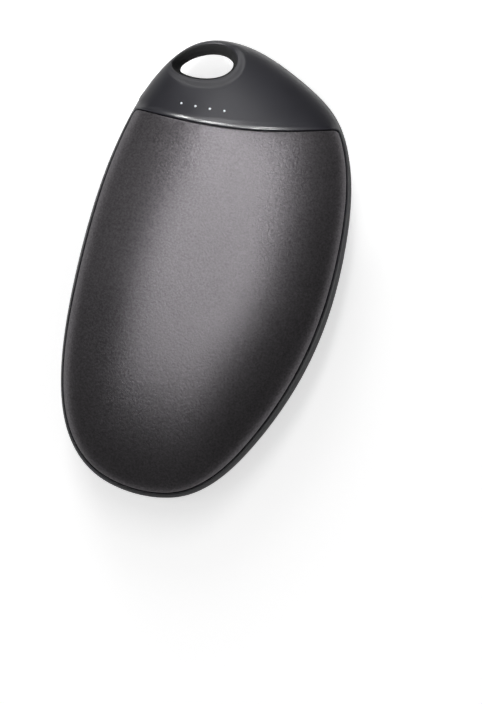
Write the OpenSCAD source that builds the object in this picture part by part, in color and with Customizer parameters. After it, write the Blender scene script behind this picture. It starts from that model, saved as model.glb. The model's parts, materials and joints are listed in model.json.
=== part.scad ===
// Rechargeable two-sided hand warmer, lying on its back.
// +Y runs toward the lanyard end, +Z out of the front face, and the origin is under the middle of the body.
// All shells are one form: a free outline, a straight side band and a superelliptic dome over it.

/* [Body] */
// Room beside the cells on each side
side_room = 14.05; // [13.5:0.05:15.5]
// Room between the cells and the round foot
foot_room = 21.1; // [20.5:0.1:24]
// Room between the cells and the lanyard end
cap_room = 30.9; // [30.5:0.1:33]
// Thickness of the foam pads between the cells and the floors
foam_t = 2.45; // [2.2:0.05:3.5]
// Half the height of the straight side band
band_h = 3.5; // [3:0.1:4]

/* [Panels and seam] */
// Thickness of the metal panels
panel_t = 0.9; // [0.7:0.05:1]
// Thickness of the bond layer that holds the tape and the heater film
bond_t = 0.3; // [0.25:0.05:0.4]
// Thickness of the moulded floor under a panel
floor_t = 1.2; // [1:0.1:1.4]
// Distance from the body's outline to the panel's recess
panel_inset = 0.8; // [0.7:0.05:1.2]
// Gap between a panel and the moulding
panel_gap = 0.35; // [0.3:0.05:0.5]
// Radius of the rolled edge of a panel
panel_roll = 0.3; // [0.2:0.05:0.4]
// Radius of the seam's arc, seen from the front
seam_r = 99; // [92:1:110]
// Distance of the seam's lowest point from the left side
seam_side = 17.2; // [16:0.1:19]
// Length of the cap over the seam's lowest point
cap_l = 23.3; // [22.5:0.1:23.5]
// How far the cap stands over the panel at the seam
cap_proud = 0.35; // [0.2:0.05:0.45]
// Radius of the cap's rounded lip along the seam
cap_lip = 1; // [0.8:0.05:1.1]
// Radius of the side band's edge beside a panel
band_lip = 0.2; // [0.15:0.05:0.3]

/* [Lanyard eye] */
// Distance of the eye's middle from the left side
eye_side = 18.9; // [18.5:0.1:19.3]
// Distance of the eye's middle from the lanyard end
eye_drop = 7.3; // [7.1:0.1:7.6]
// Length of the eye's waist
eye_l = 13.8; // [13.2:0.1:14.2]
// Width of the eye's waist
eye_w = 7; // [6.8:0.1:7.2]
// Turn of the eye's long axis
eye_turn = 17; // [14:1:20]
// How much the eye opens from its waist to its rim
eye_flare = 1.8; // [1.4:0.1:2]
// Width of the shallow dish round the rim
eye_dish_w = 2.2; // [1.6:0.1:2.6]
// Depth of the dish at the rim
eye_dish_depth = 0.7; // [0.4:0.1:0.9]
// Least wall between the eye and the inside
eye_wall = 1.3; // [1:0.1:1.5]

/* [Cells] */
// Diameter of a cell
cell_d = 18.3; // [18:0.1:18.5]
// Length of a cell
cell_l = 65; // [64.5:0.1:65.2]
// Gap between the two cells
cell_gap = 0.3; // [0.2:0.1:0.6]
// Clearance of the cradle round a cell
cell_fit = 0.12; // [0.1:0.02:0.2]
// Length of the cradle
cradle_l = 50; // [36:1:52]
// Wall of the cradle beside a cell
cradle_wall = 1.4; // [1:0.1:1.6]
// Thickness of the nickel strips
strip_t = 0.2; // [0.15:0.05:0.3]
// Width of the nickel strips
strip_w = 6; // [4:0.5:7]

/* [Board] */
// Thickness of the board
board_t = 1; // [0.8:0.1:1.2]
// Gap between the cells' strips and the board
board_gap = 2.6; // [2.2:0.1:3.2]
// Gap between the board and the moulded wall
board_edge = 1; // [0.6:0.1:1.4]
// Height of the parts' solder under them
solder_t = 0.05; // [0.03:0.01:0.1]

/* [Lights] */
// Height of the row of lights over the seam
light_rise = 3.9; // [3.6:0.1:4.4]
// Spacing of the lights
light_pitch = 3.7; // [3.4:0.1:3.8]
// Distance of the first light from the left side
light_side = 16.4; // [15.9:0.1:16.9]
// Diameter of a light's hole in the cap
light_hole_d = 0.7; // [0.65:0.05:0.8]
// Clearance of a light tip in its hole
light_fit = 0.06; // [0.04:0.01:0.1]
// Diameter of a light pipe's post
light_post_d = 1.8; // [1.6:0.1:2]

/* [Power button] */
// Direction of the button from the body's middle, in the outline's own degrees
button_a = 139; // [138:0.5:141]
// Length of the button
button_l = 8; // [7:0.1:8.4]
// Height of the button
button_h = 3.6; // [3:0.1:3.8]
// How far the button stands out of the wall
button_proud = 0.5; // [0.45:0.05:0.7]
// Clearance round the button
button_fit = 0.15; // [0.1:0.01:0.2]
// Travel of the button
button_travel = 0.3; // [0.2:0.05:0.3]

/* [Ports] */
// Direction of the ports from the body's middle, in the outline's own degrees
port_a = 61; // [60:0.5:62]
// Width of the output socket's shell
usb_a_w = 13.1; // [13:0.1:13.2]
// Height of the output socket's shell
usb_a_h = 5.7; // [5.6:0.1:5.8]
// Depth of the output socket
usb_a_l = 13; // [12:0.1:13.4]
// Width of the charging socket's shell
usb_c_w = 8.94; // [8.9:0.01:9]
// Height of the charging socket's shell
usb_c_h = 3.16; // [3.1:0.01:3.3]
// Depth of the charging socket
usb_c_l = 7.3; // [6.8:0.1:7.6]
// Gap between the two sockets
usb_gap = 1.5; // [1.3:0.1:1.6]
// Sheet thickness of the sockets' shells
usb_sheet = 0.3; // [0.25:0.05:0.35]

/* [Port cover] */
// Length of the rubber cover
cover_l = 26; // [25.4:0.1:26.4]
// Height of the rubber cover
cover_h = 9.2; // [8.6:0.1:9.4]
// Corner radius of the rubber cover
cover_r = 1.5; // [1:0.1:2]
// Depth of the cover's flat back under the outline's outermost point
cover_depth = 3.1; // [3:0.05:3.2]
// Gap round the cover in its pocket
cover_gap = 0.3; // [0.25:0.01:0.32]
// Thickness of the moulded frame behind the cover
frame_t = 0.9; // [0.8:0.05:1]
// Length of the cover's root in the wall
anchor_l = 3.6; // [3.2:0.1:4]
// Height of the cover's root
anchor_h = 5; // [4:0.1:5.4]

/* [Screws] */
// Diameter of a screw's shank
screw_d = 2; // [1.8:0.1:2.2]
// Diameter of a screw's head
screw_head_d = 3.8; // [3.4:0.1:4]
// Height of a screw's head
screw_head_h = 1.2; // [1:0.1:1.4]
// Clearance round a screw in its bosses
screw_fit = 0.05; // [0.03:0.01:0.08]
// Diameter of a screw boss
boss_d = 5.4; // [5:0.1:5.6]
// Gap between the upper bosses and the cradle
boss_side_gap = 1.05; // [0.8:0.05:1.2]
// Gap between the lower bosses and the cells' strip
boss_foot_gap = 2.25; // [2:0.05:2.5]

/* [Leads] */
// Diameter of a battery lead
lead_d = 1.5; // [1.2:0.1:1.6]
// Diameter of the sensor's wires
wire_d = 0.7; // [0.5:0.1:0.8]

/* [Hidden] */

$fn = 48;
// Overrun of every cut
over = 1;
// Small gap between separate pieces that rest on each other
seat_gap = 0.05;

// The body is sized by what it holds
shell_t = panel_t + bond_t + floor_t;
body_w = 2 * cell_d + cell_gap + 2 * side_room;
body_l = foot_room + cell_l + cap_room;
body_t = cell_d + 2 * foam_t + 2 * shell_t;
cell_top = body_l / 2 - cap_room;
seam_x = seam_side - body_w / 2;
seam_y = body_l / 2 - cap_l;
eye_x = eye_side - body_w / 2;
eye_y = body_l / 2 - eye_drop;
light_x = light_side - body_w / 2;

// The outline

// Reach of the outline as a share of half the box, every 15 degrees from +X, as a smooth closed curve
outline_shares = [1.00, 1.02, 1.06, 1.06, 0.985, 0.952, 0.975, 1.03, 1.11, 1.11, 1.06, 1.02,
                  1.00, 1.02, 1.08, 1.13, 1.10, 1.04, 1.01, 1.01, 0.99, 0.96, 0.96, 0.98];
// Dome: how far its flat crest reaches, and how square its plan and its side are
crest_share = 0.2;
dome_plan_power = 2.6;

function wrap(i) = (i % len(outline_shares) + len(outline_shares)) % len(outline_shares);
function blend(f, a, b, c, d) =
    (a * pow(1 - f, 3) + b * (3 * pow(f, 3) - 6 * f * f + 4)
     + c * (3 * f + 3 * f * f - 3 * pow(f, 3) + 1) + d * pow(f, 3)) / 6;
function reach(a) =
    let (p = a / 360 * len(outline_shares), i = floor(p))
    blend(p - i, outline_shares[wrap(i - 1)], outline_shares[wrap(i)],
          outline_shares[wrap(i + 1)], outline_shares[wrap(i + 2)]);
function unit_rim(a) = reach(a) * [cos(a), sin(a)];

// The unit outline's own box, which is stretched to the body's width and length
unit_rims = [for (a = [0:1:359]) unit_rim(a)];
unit_low = [min([for (p = unit_rims) p.x]), min([for (p = unit_rims) p.y])];
unit_high = [max([for (p = unit_rims) p.x]), max([for (p = unit_rims) p.y])];
function placed(p) =
    [((p.x - unit_low.x) / (unit_high.x - unit_low.x) - 1 / 2) * body_w,
     ((p.y - unit_low.y) / (unit_high.y - unit_low.y) - 1 / 2) * body_l];
function unplaced(p) =
    [(p.x / body_w + 1 / 2) * (unit_high.x - unit_low.x) + unit_low.x,
     (p.y / body_l + 1 / 2) * (unit_high.y - unit_low.y) + unit_low.y];
hub = placed([0, 0]);
function rim(a) = placed(unit_rim(a));
function spoke(a) = rim(a) - hub;
// Which share of the outline's reach a point in plan has
function share_at(p) = let (u = unplaced(p)) norm(u) / reach(atan2(u.y, u.x));

// The dome

rise = body_t / 2 - band_h;
function swell(s) = max(0, min(1, (s - crest_share) / (1 - crest_share)));
function top(s) = band_h + rise * sqrt(1 - pow(swell(s), dome_plan_power));
function share_of_height(z) =
    z <= band_h ? 1
    : crest_share + (1 - crest_share) * pow(1 - pow((z - band_h) / rise, 2), 1 / dome_plan_power);
// Outward direction of the dome along a spoke: first outward in plan, then up
function lean(a, s) =
    let (w = swell(s),
         out = rise * dome_plan_power * pow(w, dome_plan_power - 1) / (2 * (1 - crest_share)),
         up = norm(spoke(a)) * sqrt(1 - pow(w, dome_plan_power)))
    [out, up] / norm([out, up]);
// A point under the dome, at a depth measured square to it
function shell_point(a, s, depth) =
    let (q = spoke(a), n = lean(a, s), plan = hub + q / norm(q) * (s * norm(q) - depth * n[0]))
    [plan.x, plan.y, top(s) - depth * n[1]];
// Height under the dome at a point in plan
function height_at(p, depth) =
    let (u = unplaced(p), s = share_at(p))
    top(s) - depth / lean(atan2(u.y, u.x), s)[1];

// The seam and the panels' edge

seam_centre = [seam_x, seam_y + seam_r];
// Share of the reach at which a spoke meets an arc about the seam's centre
function arc_share(a, r) =
    let (q = spoke(a), e = hub - seam_centre, b = -(q * e), c = e * e - r * r, d = b * b - q * q * c)
    d < 0 || b < 0 ? 2 : (b - sqrt(d)) / (q * q);
corner_blend_share = 0.03;
corner_steps = 12;
corner_span = [20, 90, 170];
function soft_min(x, y) =
    let (h = max(0, corner_blend_share - abs(x - y)))
    min(x, y) - h * h / corner_blend_share / 4;
function edge_share(a, inset, drop) =
    soft_min(1 - inset / norm(spoke(a)), arc_share(a, seam_r + drop));
function recess_share(a) = edge_share(a, panel_inset, 0);
function panel_share(a) = edge_share(a, panel_inset + panel_gap, panel_gap);

// Directions of the seam's two corners, found by halving
function past_corner(a) = arc_share(a, seam_r) < 1 - panel_inset / norm(spoke(a));
function corner(out, within, steps) =
    let (mid = (out + within) / 2)
    steps == 0 ? mid
    : past_corner(mid) ? corner(out, mid, steps - 1) : corner(mid, within, steps - 1);
right_corner = corner(corner_span[0], corner_span[1], corner_steps);
left_corner = corner(corner_span[2], corner_span[1], corner_steps);
corner_reach = 3;
function fan(a, b, count) = [for (i = [0:count - 1]) a + (b - a) * i / count];
spokes = concat(fan(right_corner - corner_reach, right_corner + corner_reach, 4),
                fan(right_corner + corner_reach, left_corner - corner_reach, 15),
                fan(left_corner - corner_reach, left_corner + corner_reach, 4),
                fan(left_corner + corner_reach, right_corner - corner_reach + 360, 33));

// Lofts: rings of equal length between two end points, or rings closed on themselves

// The two triangles of a quad; rows listed as turned are cut along their other diagonal
function quad(p, q, r, s, other) = other ? [[p, s, q], [q, s, r]] : [[p, r, q], [p, s, r]];
module loft(first, rings, last, turned = []) {
    n = len(rings[0]);
    m = len(rings);
    at = function (i, j) 1 + i * n + (j % n);
    polyhedron(
        concat([first], [for (ring = rings) each ring], [last]),
        concat([for (j = [0:n - 1]) [0, at(0, j), at(0, j + 1)]],
               [for (i = [0:m - 2], j = [0:n - 1])
                   each quad(at(i, j), at(i, j + 1), at(i + 1, j + 1), at(i + 1, j), len(search(i, turned)) > 0)],
               [for (j = [0:n - 1]) [m * n + 1, at(m - 1, j + 1), at(m - 1, j)]]));
}

module hoop(rings, turned = []) {
    n = len(rings[0]);
    m = len(rings);
    at = function (i, j) (i % m) * n + (j % n);
    polyhedron(
        [for (ring = rings) each ring],
        [for (i = [0:m - 1], j = [0:n - 1])
            each quad(at(i, j), at(i, j + 1), at(i + 1, j + 1), at(i + 1, j), len(search(i, turned)) > 0)]);
}

// Everything is drawn about the middle plane and lifted onto the ground
module lifted() translate([0, 0, body_t / 2]) children();
module flipped() mirror([0, 0, 1]) children();

// Layers under a panel, on the same rings so that they lie on each other

layer_shares = [0.97, 0.88, 0.84, 0.62, 0.42];
function layer_ring(s, depth) = [for (a = spokes) shell_point(a, panel_share(a) * s, depth)];
function crest_ring(depth) = [for (a = spokes) shell_point(a, crest_share, depth)];
function layer_rings(depth, from) = concat(
    [for (i = [from:len(layer_shares) - 1]) layer_ring(layer_shares[i], depth)], [crest_ring(depth)]);
function backwards(list) = [for (i = [len(list) - 1:-1:0]) list[i]];
function crest_point(depth) = [hub.x, hub.y, body_t / 2 - depth];

// Cap and side band

// The cap rises to its full proud height a little inside the outline and away from the thin sides
cap_rise_share = 0.12;
function proud(a, s) =
    cap_proud * min(1, (1 - recess_share(a)) / cap_rise_share) * min(1, (1 - s) / cap_rise_share);
function outer_point(a, s) = shell_point(a, s, -proud(a, s));
function lip_r(a) =
    band_lip + (cap_lip - band_lip) * max(0, min(1, (1 - recess_share(a)) / cap_rise_share - 1 / 2));
function lip_point(a, out_share, sink_share) =
    let (s = recess_share(a) + out_share * lip_r(a) / norm(spoke(a)))
    shell_point(a, s, sink_share * lip_r(a) - proud(a, s));
function outer_share(a, w_share) =
    let (s = recess_share(a) + lip_r(a) / norm(spoke(a)),
         w = sqrt(1 - pow(swell(s), dome_plan_power)))
    crest_share + (1 - crest_share) * pow(1 - pow(w * w_share, 2), 1 / dome_plan_power);
dome_shares = [0, 0.25, 0.45, 0.63, 0.78, 0.9, 1];
inner_shares = [0.42, 0.62, 0.78, 0.88, 0.95, 0.985, 1];

// The halves meet at the middle plane
function flat_ring(depth) =
    [for (a = spokes) let (p = shell_point(a, 1, depth)) [p.x, p.y, 0]];

// One moulded half as a bowl: recess floor, lip, cap and band, then back along the inside
module bowl() {
    loft(crest_point(shell_t),
         concat([crest_ring(shell_t)],
                [for (s = inner_shares) [for (a = spokes) shell_point(a, s, shell_t)]],
                [flat_ring(shell_t), flat_ring(0)],
                [for (w = dome_shares) [for (a = spokes) outer_point(a, outer_share(a, w))]],
                [[for (a = spokes) lip_point(a, 0.35, 0.24)]],
                [[for (a = spokes) lip_point(a, 0, 1)]],
                [[for (a = spokes) shell_point(a, recess_share(a), panel_t + bond_t)]],
                layer_rings(panel_t + bond_t, 0)),
         crest_point(panel_t + bond_t));
}

// Lanyard eye

eye_steps = 28;
eye_turns = fan(0, 360, eye_steps);
// The eye narrows toward its left end, and its dish fades toward the outline
eye_taper_share = 0.16;
eye_rim_limit_share = 0.984;
eye_wall_limit_share = 0.99;
eye_up = 110;
function eye_point(b, grow) =
    let (x = (eye_l / 2 + grow) * cos(b),
         y = (eye_w / 2 + grow) * (1 + eye_taper_share * cos(b)) * sin(b))
    [eye_x + x * cos(eye_turn) - y * sin(eye_turn), eye_y + x * sin(eye_turn) + y * cos(eye_turn)];
function kept_in(p, limit_share) = hub + (p - hub) * min(1, limit_share / share_at(p));
function eye_ring_point(b, grow, z) =
    let (p = kept_in(eye_point(b, grow), eye_rim_limit_share)) [p.x, p.y, z];
eye_least_share = 0.3;
function eye_fade(b) = (1 - cos(b - eye_up)) / 2;
function eye_rim_height(b) =
    top(share_at(kept_in(eye_point(b, eye_flare), eye_rim_limit_share)))
    - eye_dish_depth * max(eye_least_share, eye_fade(b));
flare_shares = [[0, 0], [0.35, 0.08], [0.65, 0.3], [0.88, 0.65], [1, 1]];
function dish_point(b, lift) =
    let (p = kept_in(eye_point(b, eye_flare + eye_dish_w * eye_fade(b)), eye_rim_limit_share))
    [p.x, p.y, top(share_at(p)) + cap_proud + lift];
module eye_cut() {
    loft([eye_x, eye_y, -2 * over],
         concat([[for (b = eye_turns) eye_ring_point(b, 0, -2 * over)]],
                [for (f = flare_shares) [for (b = eye_turns)
                    eye_ring_point(b, eye_flare * f[1], eye_rim_height(b) * f[0])]],
                [[for (b = eye_turns) dish_point(b, over / 4)]],
                [[for (b = eye_turns) dish_point(b, over)]]),
         [eye_x, eye_y, body_t / 2 + over]);
}
function eye_wall_point(b, depth) =
    let (p = kept_in(eye_point(b, eye_flare + eye_wall), eye_wall_limit_share))
    [p.x, p.y, depth < 0 ? 0 : top(share_at(p)) - depth];
module eye_tube() {
    loft([eye_x, eye_y, 0],
         [[for (b = eye_turns) eye_wall_point(b, -1)],
          [for (b = eye_turns) eye_wall_point(b, shell_t / 2)]],
         [eye_x, eye_y, height_at([eye_x, eye_y], shell_t / 2)]);
}

// A place on the side wall: its point, and the turn of its outward direction

side_step = 15;
nest_turn = 40;
find_steps = 14;
function wall_out(a) = let (q = rim(a - side_step) - rim(a + side_step)) atan2(-q.x, q.y) + 180;
// Local +X points out of the wall and +Y to the left, seen from outside with +Z up
module at_wall(a) {
    translate([rim(a).x, rim(a).y, 0]) rotate([0, 0, wall_out(a)]) children();
}
function from_wall(a, x, y) =
    let (t = wall_out(a)) rim(a) + [x * cos(t) - y * sin(t), x * sin(t) + y * cos(t)];
function to_wall(a, p) =
    let (t = wall_out(a), q = p - rim(a)) [q.x * cos(t) + q.y * sin(t), q.y * cos(t) - q.x * sin(t)];
// Direction in which the outline lies at a sideways distance from such a place
function outline_at(a, y, from, to, steps) =
    let (mid = (from + to) / 2)
    steps == 0 ? mid
    : to_wall(a, rim(mid)).y < y ? outline_at(a, y, mid, to, steps - 1)
    : outline_at(a, y, from, mid, steps - 1);

// A block whose front follows the body and whose back is flat, with rounded corners
column_shares = [-1, -0.97, -0.885, -0.6, -0.3, 0, 0.3, 0.6, 0.885, 0.97, 1];
row_shares = [-1, -0.88, -0.6, 0, 0.6, 0.88, 1];
function block_half_height(y_share, l, h, r) =
    let (d = max(0, abs(y_share) * l / 2 - (l / 2 - r))) h / 2 - r + sqrt(max(0, r * r - d * d));
function block_front(a, y, z) =
    let (b = outline_at(a, y, a - nest_turn, a + nest_turn, find_steps), p = hub + spoke(b) * share_of_height(abs(z)))
    to_wall(a, p);
module wall_block(a, y0, l, h, r, push, back) {
    columns = len(column_shares);
    rows = len(row_shares);
    grid = [for (c = column_shares, w = row_shares)
        let (y = y0 + c * l / 2, z = w * block_half_height(c, l, h, r), f = block_front(a, y, z)) [f.x, y, z]];
    at = function (i, j) i * rows + j;
    n = columns * rows;
    edge = concat([for (j = [0:rows - 1]) at(0, j)],
                  [for (i = [1:columns - 1]) at(i, rows - 1)],
                  [for (j = [rows - 2:-1:0]) at(columns - 1, j)],
                  [for (i = [columns - 2:-1:1]) at(i, 0)]);
    polyhedron(
        concat([for (p = grid) [p.x + push, p.y, p.z]], [for (p = grid) [-back, p.y, p.z]]),
        concat([for (i = [0:columns - 2], j = [0:rows - 2]) [at(i, j), at(i, j + 1), at(i + 1, j + 1)]],
               [for (i = [0:columns - 2], j = [0:rows - 2]) [at(i, j), at(i + 1, j + 1), at(i + 1, j)]],
               [for (i = [0:columns - 2], j = [0:rows - 2]) [n + at(i, j), n + at(i + 1, j + 1), n + at(i, j + 1)]],
               [for (i = [0:columns - 2], j = [0:rows - 2]) [n + at(i, j), n + at(i + 1, j), n + at(i + 1, j + 1)]],
               [for (k = [0:len(edge) - 1]) let (e = edge[k], f = edge[(k + 1) % len(edge)]) [e, n + e, f]],
               [for (k = [0:len(edge) - 1]) let (e = edge[k], f = edge[(k + 1) % len(edge)]) [f, n + e, n + f]]));
}

// A bar with half-round ends, along Y, from x0 to x1
module slot_bar(x0, x1, l, h) {
    translate([x0, -(l - h) / 2, -h / 2]) cube([x1 - x0, l - h, h]);
    for (side = [-1, 1])
        translate([x0, side * (l - h) / 2, 0]) rotate([0, 90, 0]) cylinder(d = h, h = x1 - x0);
}
// A plain bar centred on Y and Z
module bar(x0, x1, w, h) translate([x0, -w / 2, -h / 2]) cube([x1 - x0, w, h]);

// Ports

usb_span = usb_a_w + usb_gap + usb_c_w;
usb_a_y = usb_span / 2 - usb_a_w / 2;
usb_c_y = usb_c_w / 2 - usb_span / 2;
board_top = -usb_a_h / 2 - solder_t;
usb_c_z = board_top + solder_t + usb_c_h / 2;
socket_x = -cover_depth - cover_gap - frame_t;
window_gap = 0.4;
nest_gap = 0.2;
nest_wall = 1.2;
block_depth = -socket_x + nest_wall;

// A bar with rounded corners, centred on Y and Z
module soft_bar(x0, x1, w, h, r) {
    bar(x0, x1, w - 2 * r, h);
    bar(x0, x1, w, h - 2 * r);
    for (sy = [-1, 1], sz = [-1, 1])
        translate([x0, sy * (w / 2 - r), sz * (h / 2 - r)]) rotate([0, 90, 0]) cylinder(r = r, h = x1 - x0);
}

// Moulded nest for the sockets, inside the wall
nest_share = 0.975;
nest_h = cover_h / 2 + nest_wall / 2;
nest_steps = 8;
module port_nest() {
    a0 = outline_at(port_a, -cover_l / 2 + nest_wall / 2, port_a - nest_turn, port_a + nest_turn, find_steps);
    a1 = outline_at(port_a, cover_l / 2 + nest_wall / 2, port_a - nest_turn, port_a + nest_turn, find_steps);
    front = [for (i = [0:nest_steps])
        let (b = a0 + (a1 - a0) * i / nest_steps) to_wall(port_a, hub + spoke(b) * nest_share)];
    linear_extrude(height = nest_h)
        polygon(concat(front, [[-block_depth, front[nest_steps].y], [-block_depth, front[0].y]]));
}
module port_pocket()
    soft_bar(-cover_depth - cover_gap, 2 * over, cover_l + 2 * cover_gap, cover_h + 2 * cover_gap, cover_r + cover_gap);
module port_windows() {
    translate([0, usb_a_y, 0]) {
        bar(-block_depth - over, -cover_depth, usb_a_w + window_gap, usb_a_h + window_gap);
        bar(-block_depth - over, socket_x + nest_gap, usb_a_w + 2 * nest_gap, usb_a_h + 2 * nest_gap);
    }
}
module charge_window()
    translate([0, usb_c_y, usb_c_z])
        slot_bar(-block_depth - over, -cover_depth, usb_c_w + window_gap, usb_c_h + window_gap);
module board_slot()
    translate([-block_depth - over, -cover_l / 2, board_top - board_t - nest_gap])
        cube([block_depth + over + socket_x + nest_gap, cover_l + 2 * nest_wall, board_t + nest_gap + solder_t]);

// Root of the rubber cover, square to the wall just past the cover's lower end
anchor_gap = 0.35;
anchor_y = -cover_l / 2 - anchor_gap - anchor_l / 2;
anchor_a = outline_at(port_a, anchor_y, port_a - nest_turn, port_a + nest_turn, find_steps);
anchor_r = anchor_h / 6;
anchor_t = 1.3;
stem_d = anchor_h / 2;
stem_fit = 0.05;
anchor_head = 1;
anchor_head_gap = 0.3;
anchor_head_d = stem_d * 1.5;
module anchor_channel()
    translate([0, anchor_channel_l / 2 - anchor_l / 2 - anchor_gap, 0])
        bar(-anchor_t - stem_fit, 2 * over, anchor_channel_l, anchor_h + 2 * stem_fit);
anchor_channel_l = anchor_l + 2 * anchor_gap + over;
module anchor_bore()
    translate([-shell_t - 2 * over, 0, 0]) rotate([0, 90, 0])
        cylinder(d = stem_d + 2 * stem_fit, h = shell_t + 2 * over);

// Room round the head on the inside of the wall
module anchor_room()
    translate([-shell_t - 2 * anchor_head_gap - anchor_head, 0, 0]) rotate([0, 90, 0])
        cylinder(d = anchor_head_d + 2 * anchor_head_gap, h = anchor_head + 2 * anchor_head_gap);

// Power button

button_flange = 1;
button_flange_t = 0.8;
flange_rest = 0.45;
nub_l = 1;
flange_x = -shell_t - flange_rest;
tip_x = flange_x - button_flange_t - nub_l;
switch_h = 3.5;
switch_z = board_top + solder_t + switch_h / 2;

// Screws

cell_x = (cell_d + cell_gap) / 2;
cell_foot = cell_top - cell_l;
cell_edge = 0.8;
cradle_half = cell_x + cell_d / 2 + cell_fit + cradle_wall;
screw_top_x = cradle_half + boss_side_gap + boss_d / 2;
screw_top_y = cell_top - cell_edge / 2;
screw_foot_x = cell_x + cell_d / 8;
screw_foot_y = cell_foot - strip_t - seat_gap - boss_foot_gap - boss_d / 2;
screw_places = [[-screw_top_x, screw_top_y], [screw_top_x, screw_top_y],
                [-screw_foot_x, screw_foot_y], [screw_foot_x, screw_foot_y]];
screw_cover_t = 0.15;
ring_steps = 16;
function ring_about(p, d) = [for (k = fan(0, 360, ring_steps)) p + d / 2 * [cos(k), sin(k)]];
function screw_head_z(p) =
    min([for (q = ring_about(p, screw_head_d)) height_at(q, panel_t + bond_t)]) - screw_head_h - screw_cover_t;
// A boss whose top lies in the middle of the sloping floor
module screw_boss(p) {
    mid_floor = shell_t - floor_t / 2;
    loft([p.x, p.y, 0],
         [[for (q = ring_about(p, boss_d)) [q.x, q.y, 0]],
          [for (q = ring_about(p, boss_d)) [q.x, q.y, height_at(q, mid_floor)]]],
         [p.x, p.y, height_at(p, mid_floor)]);
}
screw_bite = 6;

// Lights

light_count = 4;
light_arc = seam_r - light_rise;
function light_dir(i) = asin((light_x - seam_x) / light_arc) + i * 2 * asin(light_pitch / light_arc / 2);
function light_place(i) = seam_centre + light_arc * [sin(light_dir(i)), -cos(light_dir(i))];

// What both halves have; ports are cut with their own side up
module shell(port_side) {
    difference() {
        union() {
            bowl();
            eye_tube();
            for (p = screw_places) screw_boss(p);
            at_wall(port_a) port_nest();
        }
        eye_cut();
        at_wall(port_a) port_pocket();
        at_wall(port_a) port_windows();
        at_wall(port_a) scale([1, 1, port_side]) charge_window();
        at_wall(port_a) scale([1, 1, port_side]) board_slot();
        at_wall(anchor_a) anchor_channel();
        at_wall(anchor_a) anchor_bore();
        at_wall(anchor_a) anchor_room();
        at_wall(button_a) slot_bar(-shell_t - over, over, button_l + 2 * button_fit, button_h + 2 * button_fit);
        tail_slot();
    }
}
module front_shell() {
    difference() {
        shell(1);
        for (p = screw_places)
            translate([p.x, p.y, -over]) cylinder(d = screw_d + 2 * screw_fit, h = screw_bite + 2 * over);
        for (i = [0:light_count - 1]) let (p = light_place(i))
            translate([p.x, p.y, height_at(p, shell_t) - over]) cylinder(d = light_hole_d, h = shell_t + 3 * over);
    }
}
module rear_shell() {
    difference() {
        shell(-1);
        for (p = screw_places) {
            translate([p.x, p.y, -over]) cylinder(d = screw_d + 2 * screw_fit, h = body_t / 2);
            translate([p.x, p.y, screw_head_z(p) - screw_fit])
                cylinder(d = screw_head_d + 2 * screw_fit, h = body_t / 2);
        }
    }
}

// Slot in the floor for the heater's tail
tail_w = 4.5;
tail_x = 4.6;
tail_y = seam_y - 3.3;
tail_gap = 0.3;
film_t = bond_t - 2 * seat_gap;
module tail_slot()
    translate([tail_x - tail_w / 2 - tail_gap, tail_y - tail_gap, height_at([tail_x, tail_y], shell_t) - over])
        cube([tail_w + 2 * tail_gap, film_t + 2 * tail_gap, floor_t + bond_t + 2 * over]);

module front_case() color("#2b2b2e") lifted() front_shell();
module rear_case() color("#2b2b2e") lifted() flipped() rear_shell();

module panel() {
    loft(crest_point(panel_t),
         concat(backwards(layer_rings(panel_t, 0)),
                [[for (a = spokes) shell_point(a, panel_share(a), panel_t)]],
                [[for (a = spokes) shell_point(a, panel_share(a), panel_roll)]],
                [[for (a = spokes) shell_point(a, panel_share(a) - panel_roll / norm(spoke(a)), 0)]],
                layer_rings(0, 0)),
         crest_point(0),
         [for (i = [0:len(layer_shares) - 1]) i]);
}
module front_panel() color("#6b686b") lifted() panel();
module rear_panel() color("#6b686b") lifted() flipped() panel();

// The tape fills the bond layer near the panel's edge, and the heater film the middle
module tape() {
    top_depth = panel_t + seat_gap;
    low_depth = panel_t + bond_t - seat_gap;
    hoop([layer_ring(layer_shares[0], top_depth), layer_ring(layer_shares[1], top_depth),
          layer_ring(layer_shares[1], low_depth), layer_ring(layer_shares[0], low_depth)], [2]);
}
module front_tape() color("#d8d8d2") lifted() tape();
module rear_tape() color("#d8d8d2") lifted() flipped() tape();

module heater(tail_end) {
    top_depth = panel_t + seat_gap;
    low_depth = top_depth + film_t;
    loft(crest_point(low_depth),
         concat(backwards(layer_rings(low_depth, 2)), layer_rings(top_depth, 2)),
         crest_point(top_depth),
         [for (i = [0:len(layer_shares) - 3]) i]);
    // The tail starts inside the film's thickness, follows the floor and turns down through its slot
    mid_depth = top_depth + film_t / 2;
    start = tail_y - tail_run;
    h0 = height_at([tail_x, start], mid_depth);
    h1 = height_at([tail_x, tail_y], mid_depth);
    translate([tail_x + tail_w / 2, 0, 0]) rotate([0, -90, 0]) linear_extrude(height = tail_w)
        polygon([[h0 - tail_t / 2, start], [h0 + tail_t / 2, start], [h1 + tail_t / 2, tail_y + tail_t],
                 [tail_end, tail_y + tail_t], [tail_end, tail_y], [h1 - tail_t / 2, tail_y]]);
}
tail_t = 0.12;
tail_run = 1.6;
tail_socket_h = 2;
tail_socket_w = 6.4;
tail_socket_l = 2.8;
module front_heater() color("#c77a2c") lifted() heater(board_top + tail_socket_h / 2);
module rear_heater() color("#c77a2c") lifted() flipped() heater(board_t - board_top + tail_socket_h / 2);

// Cells and what holds them

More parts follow.
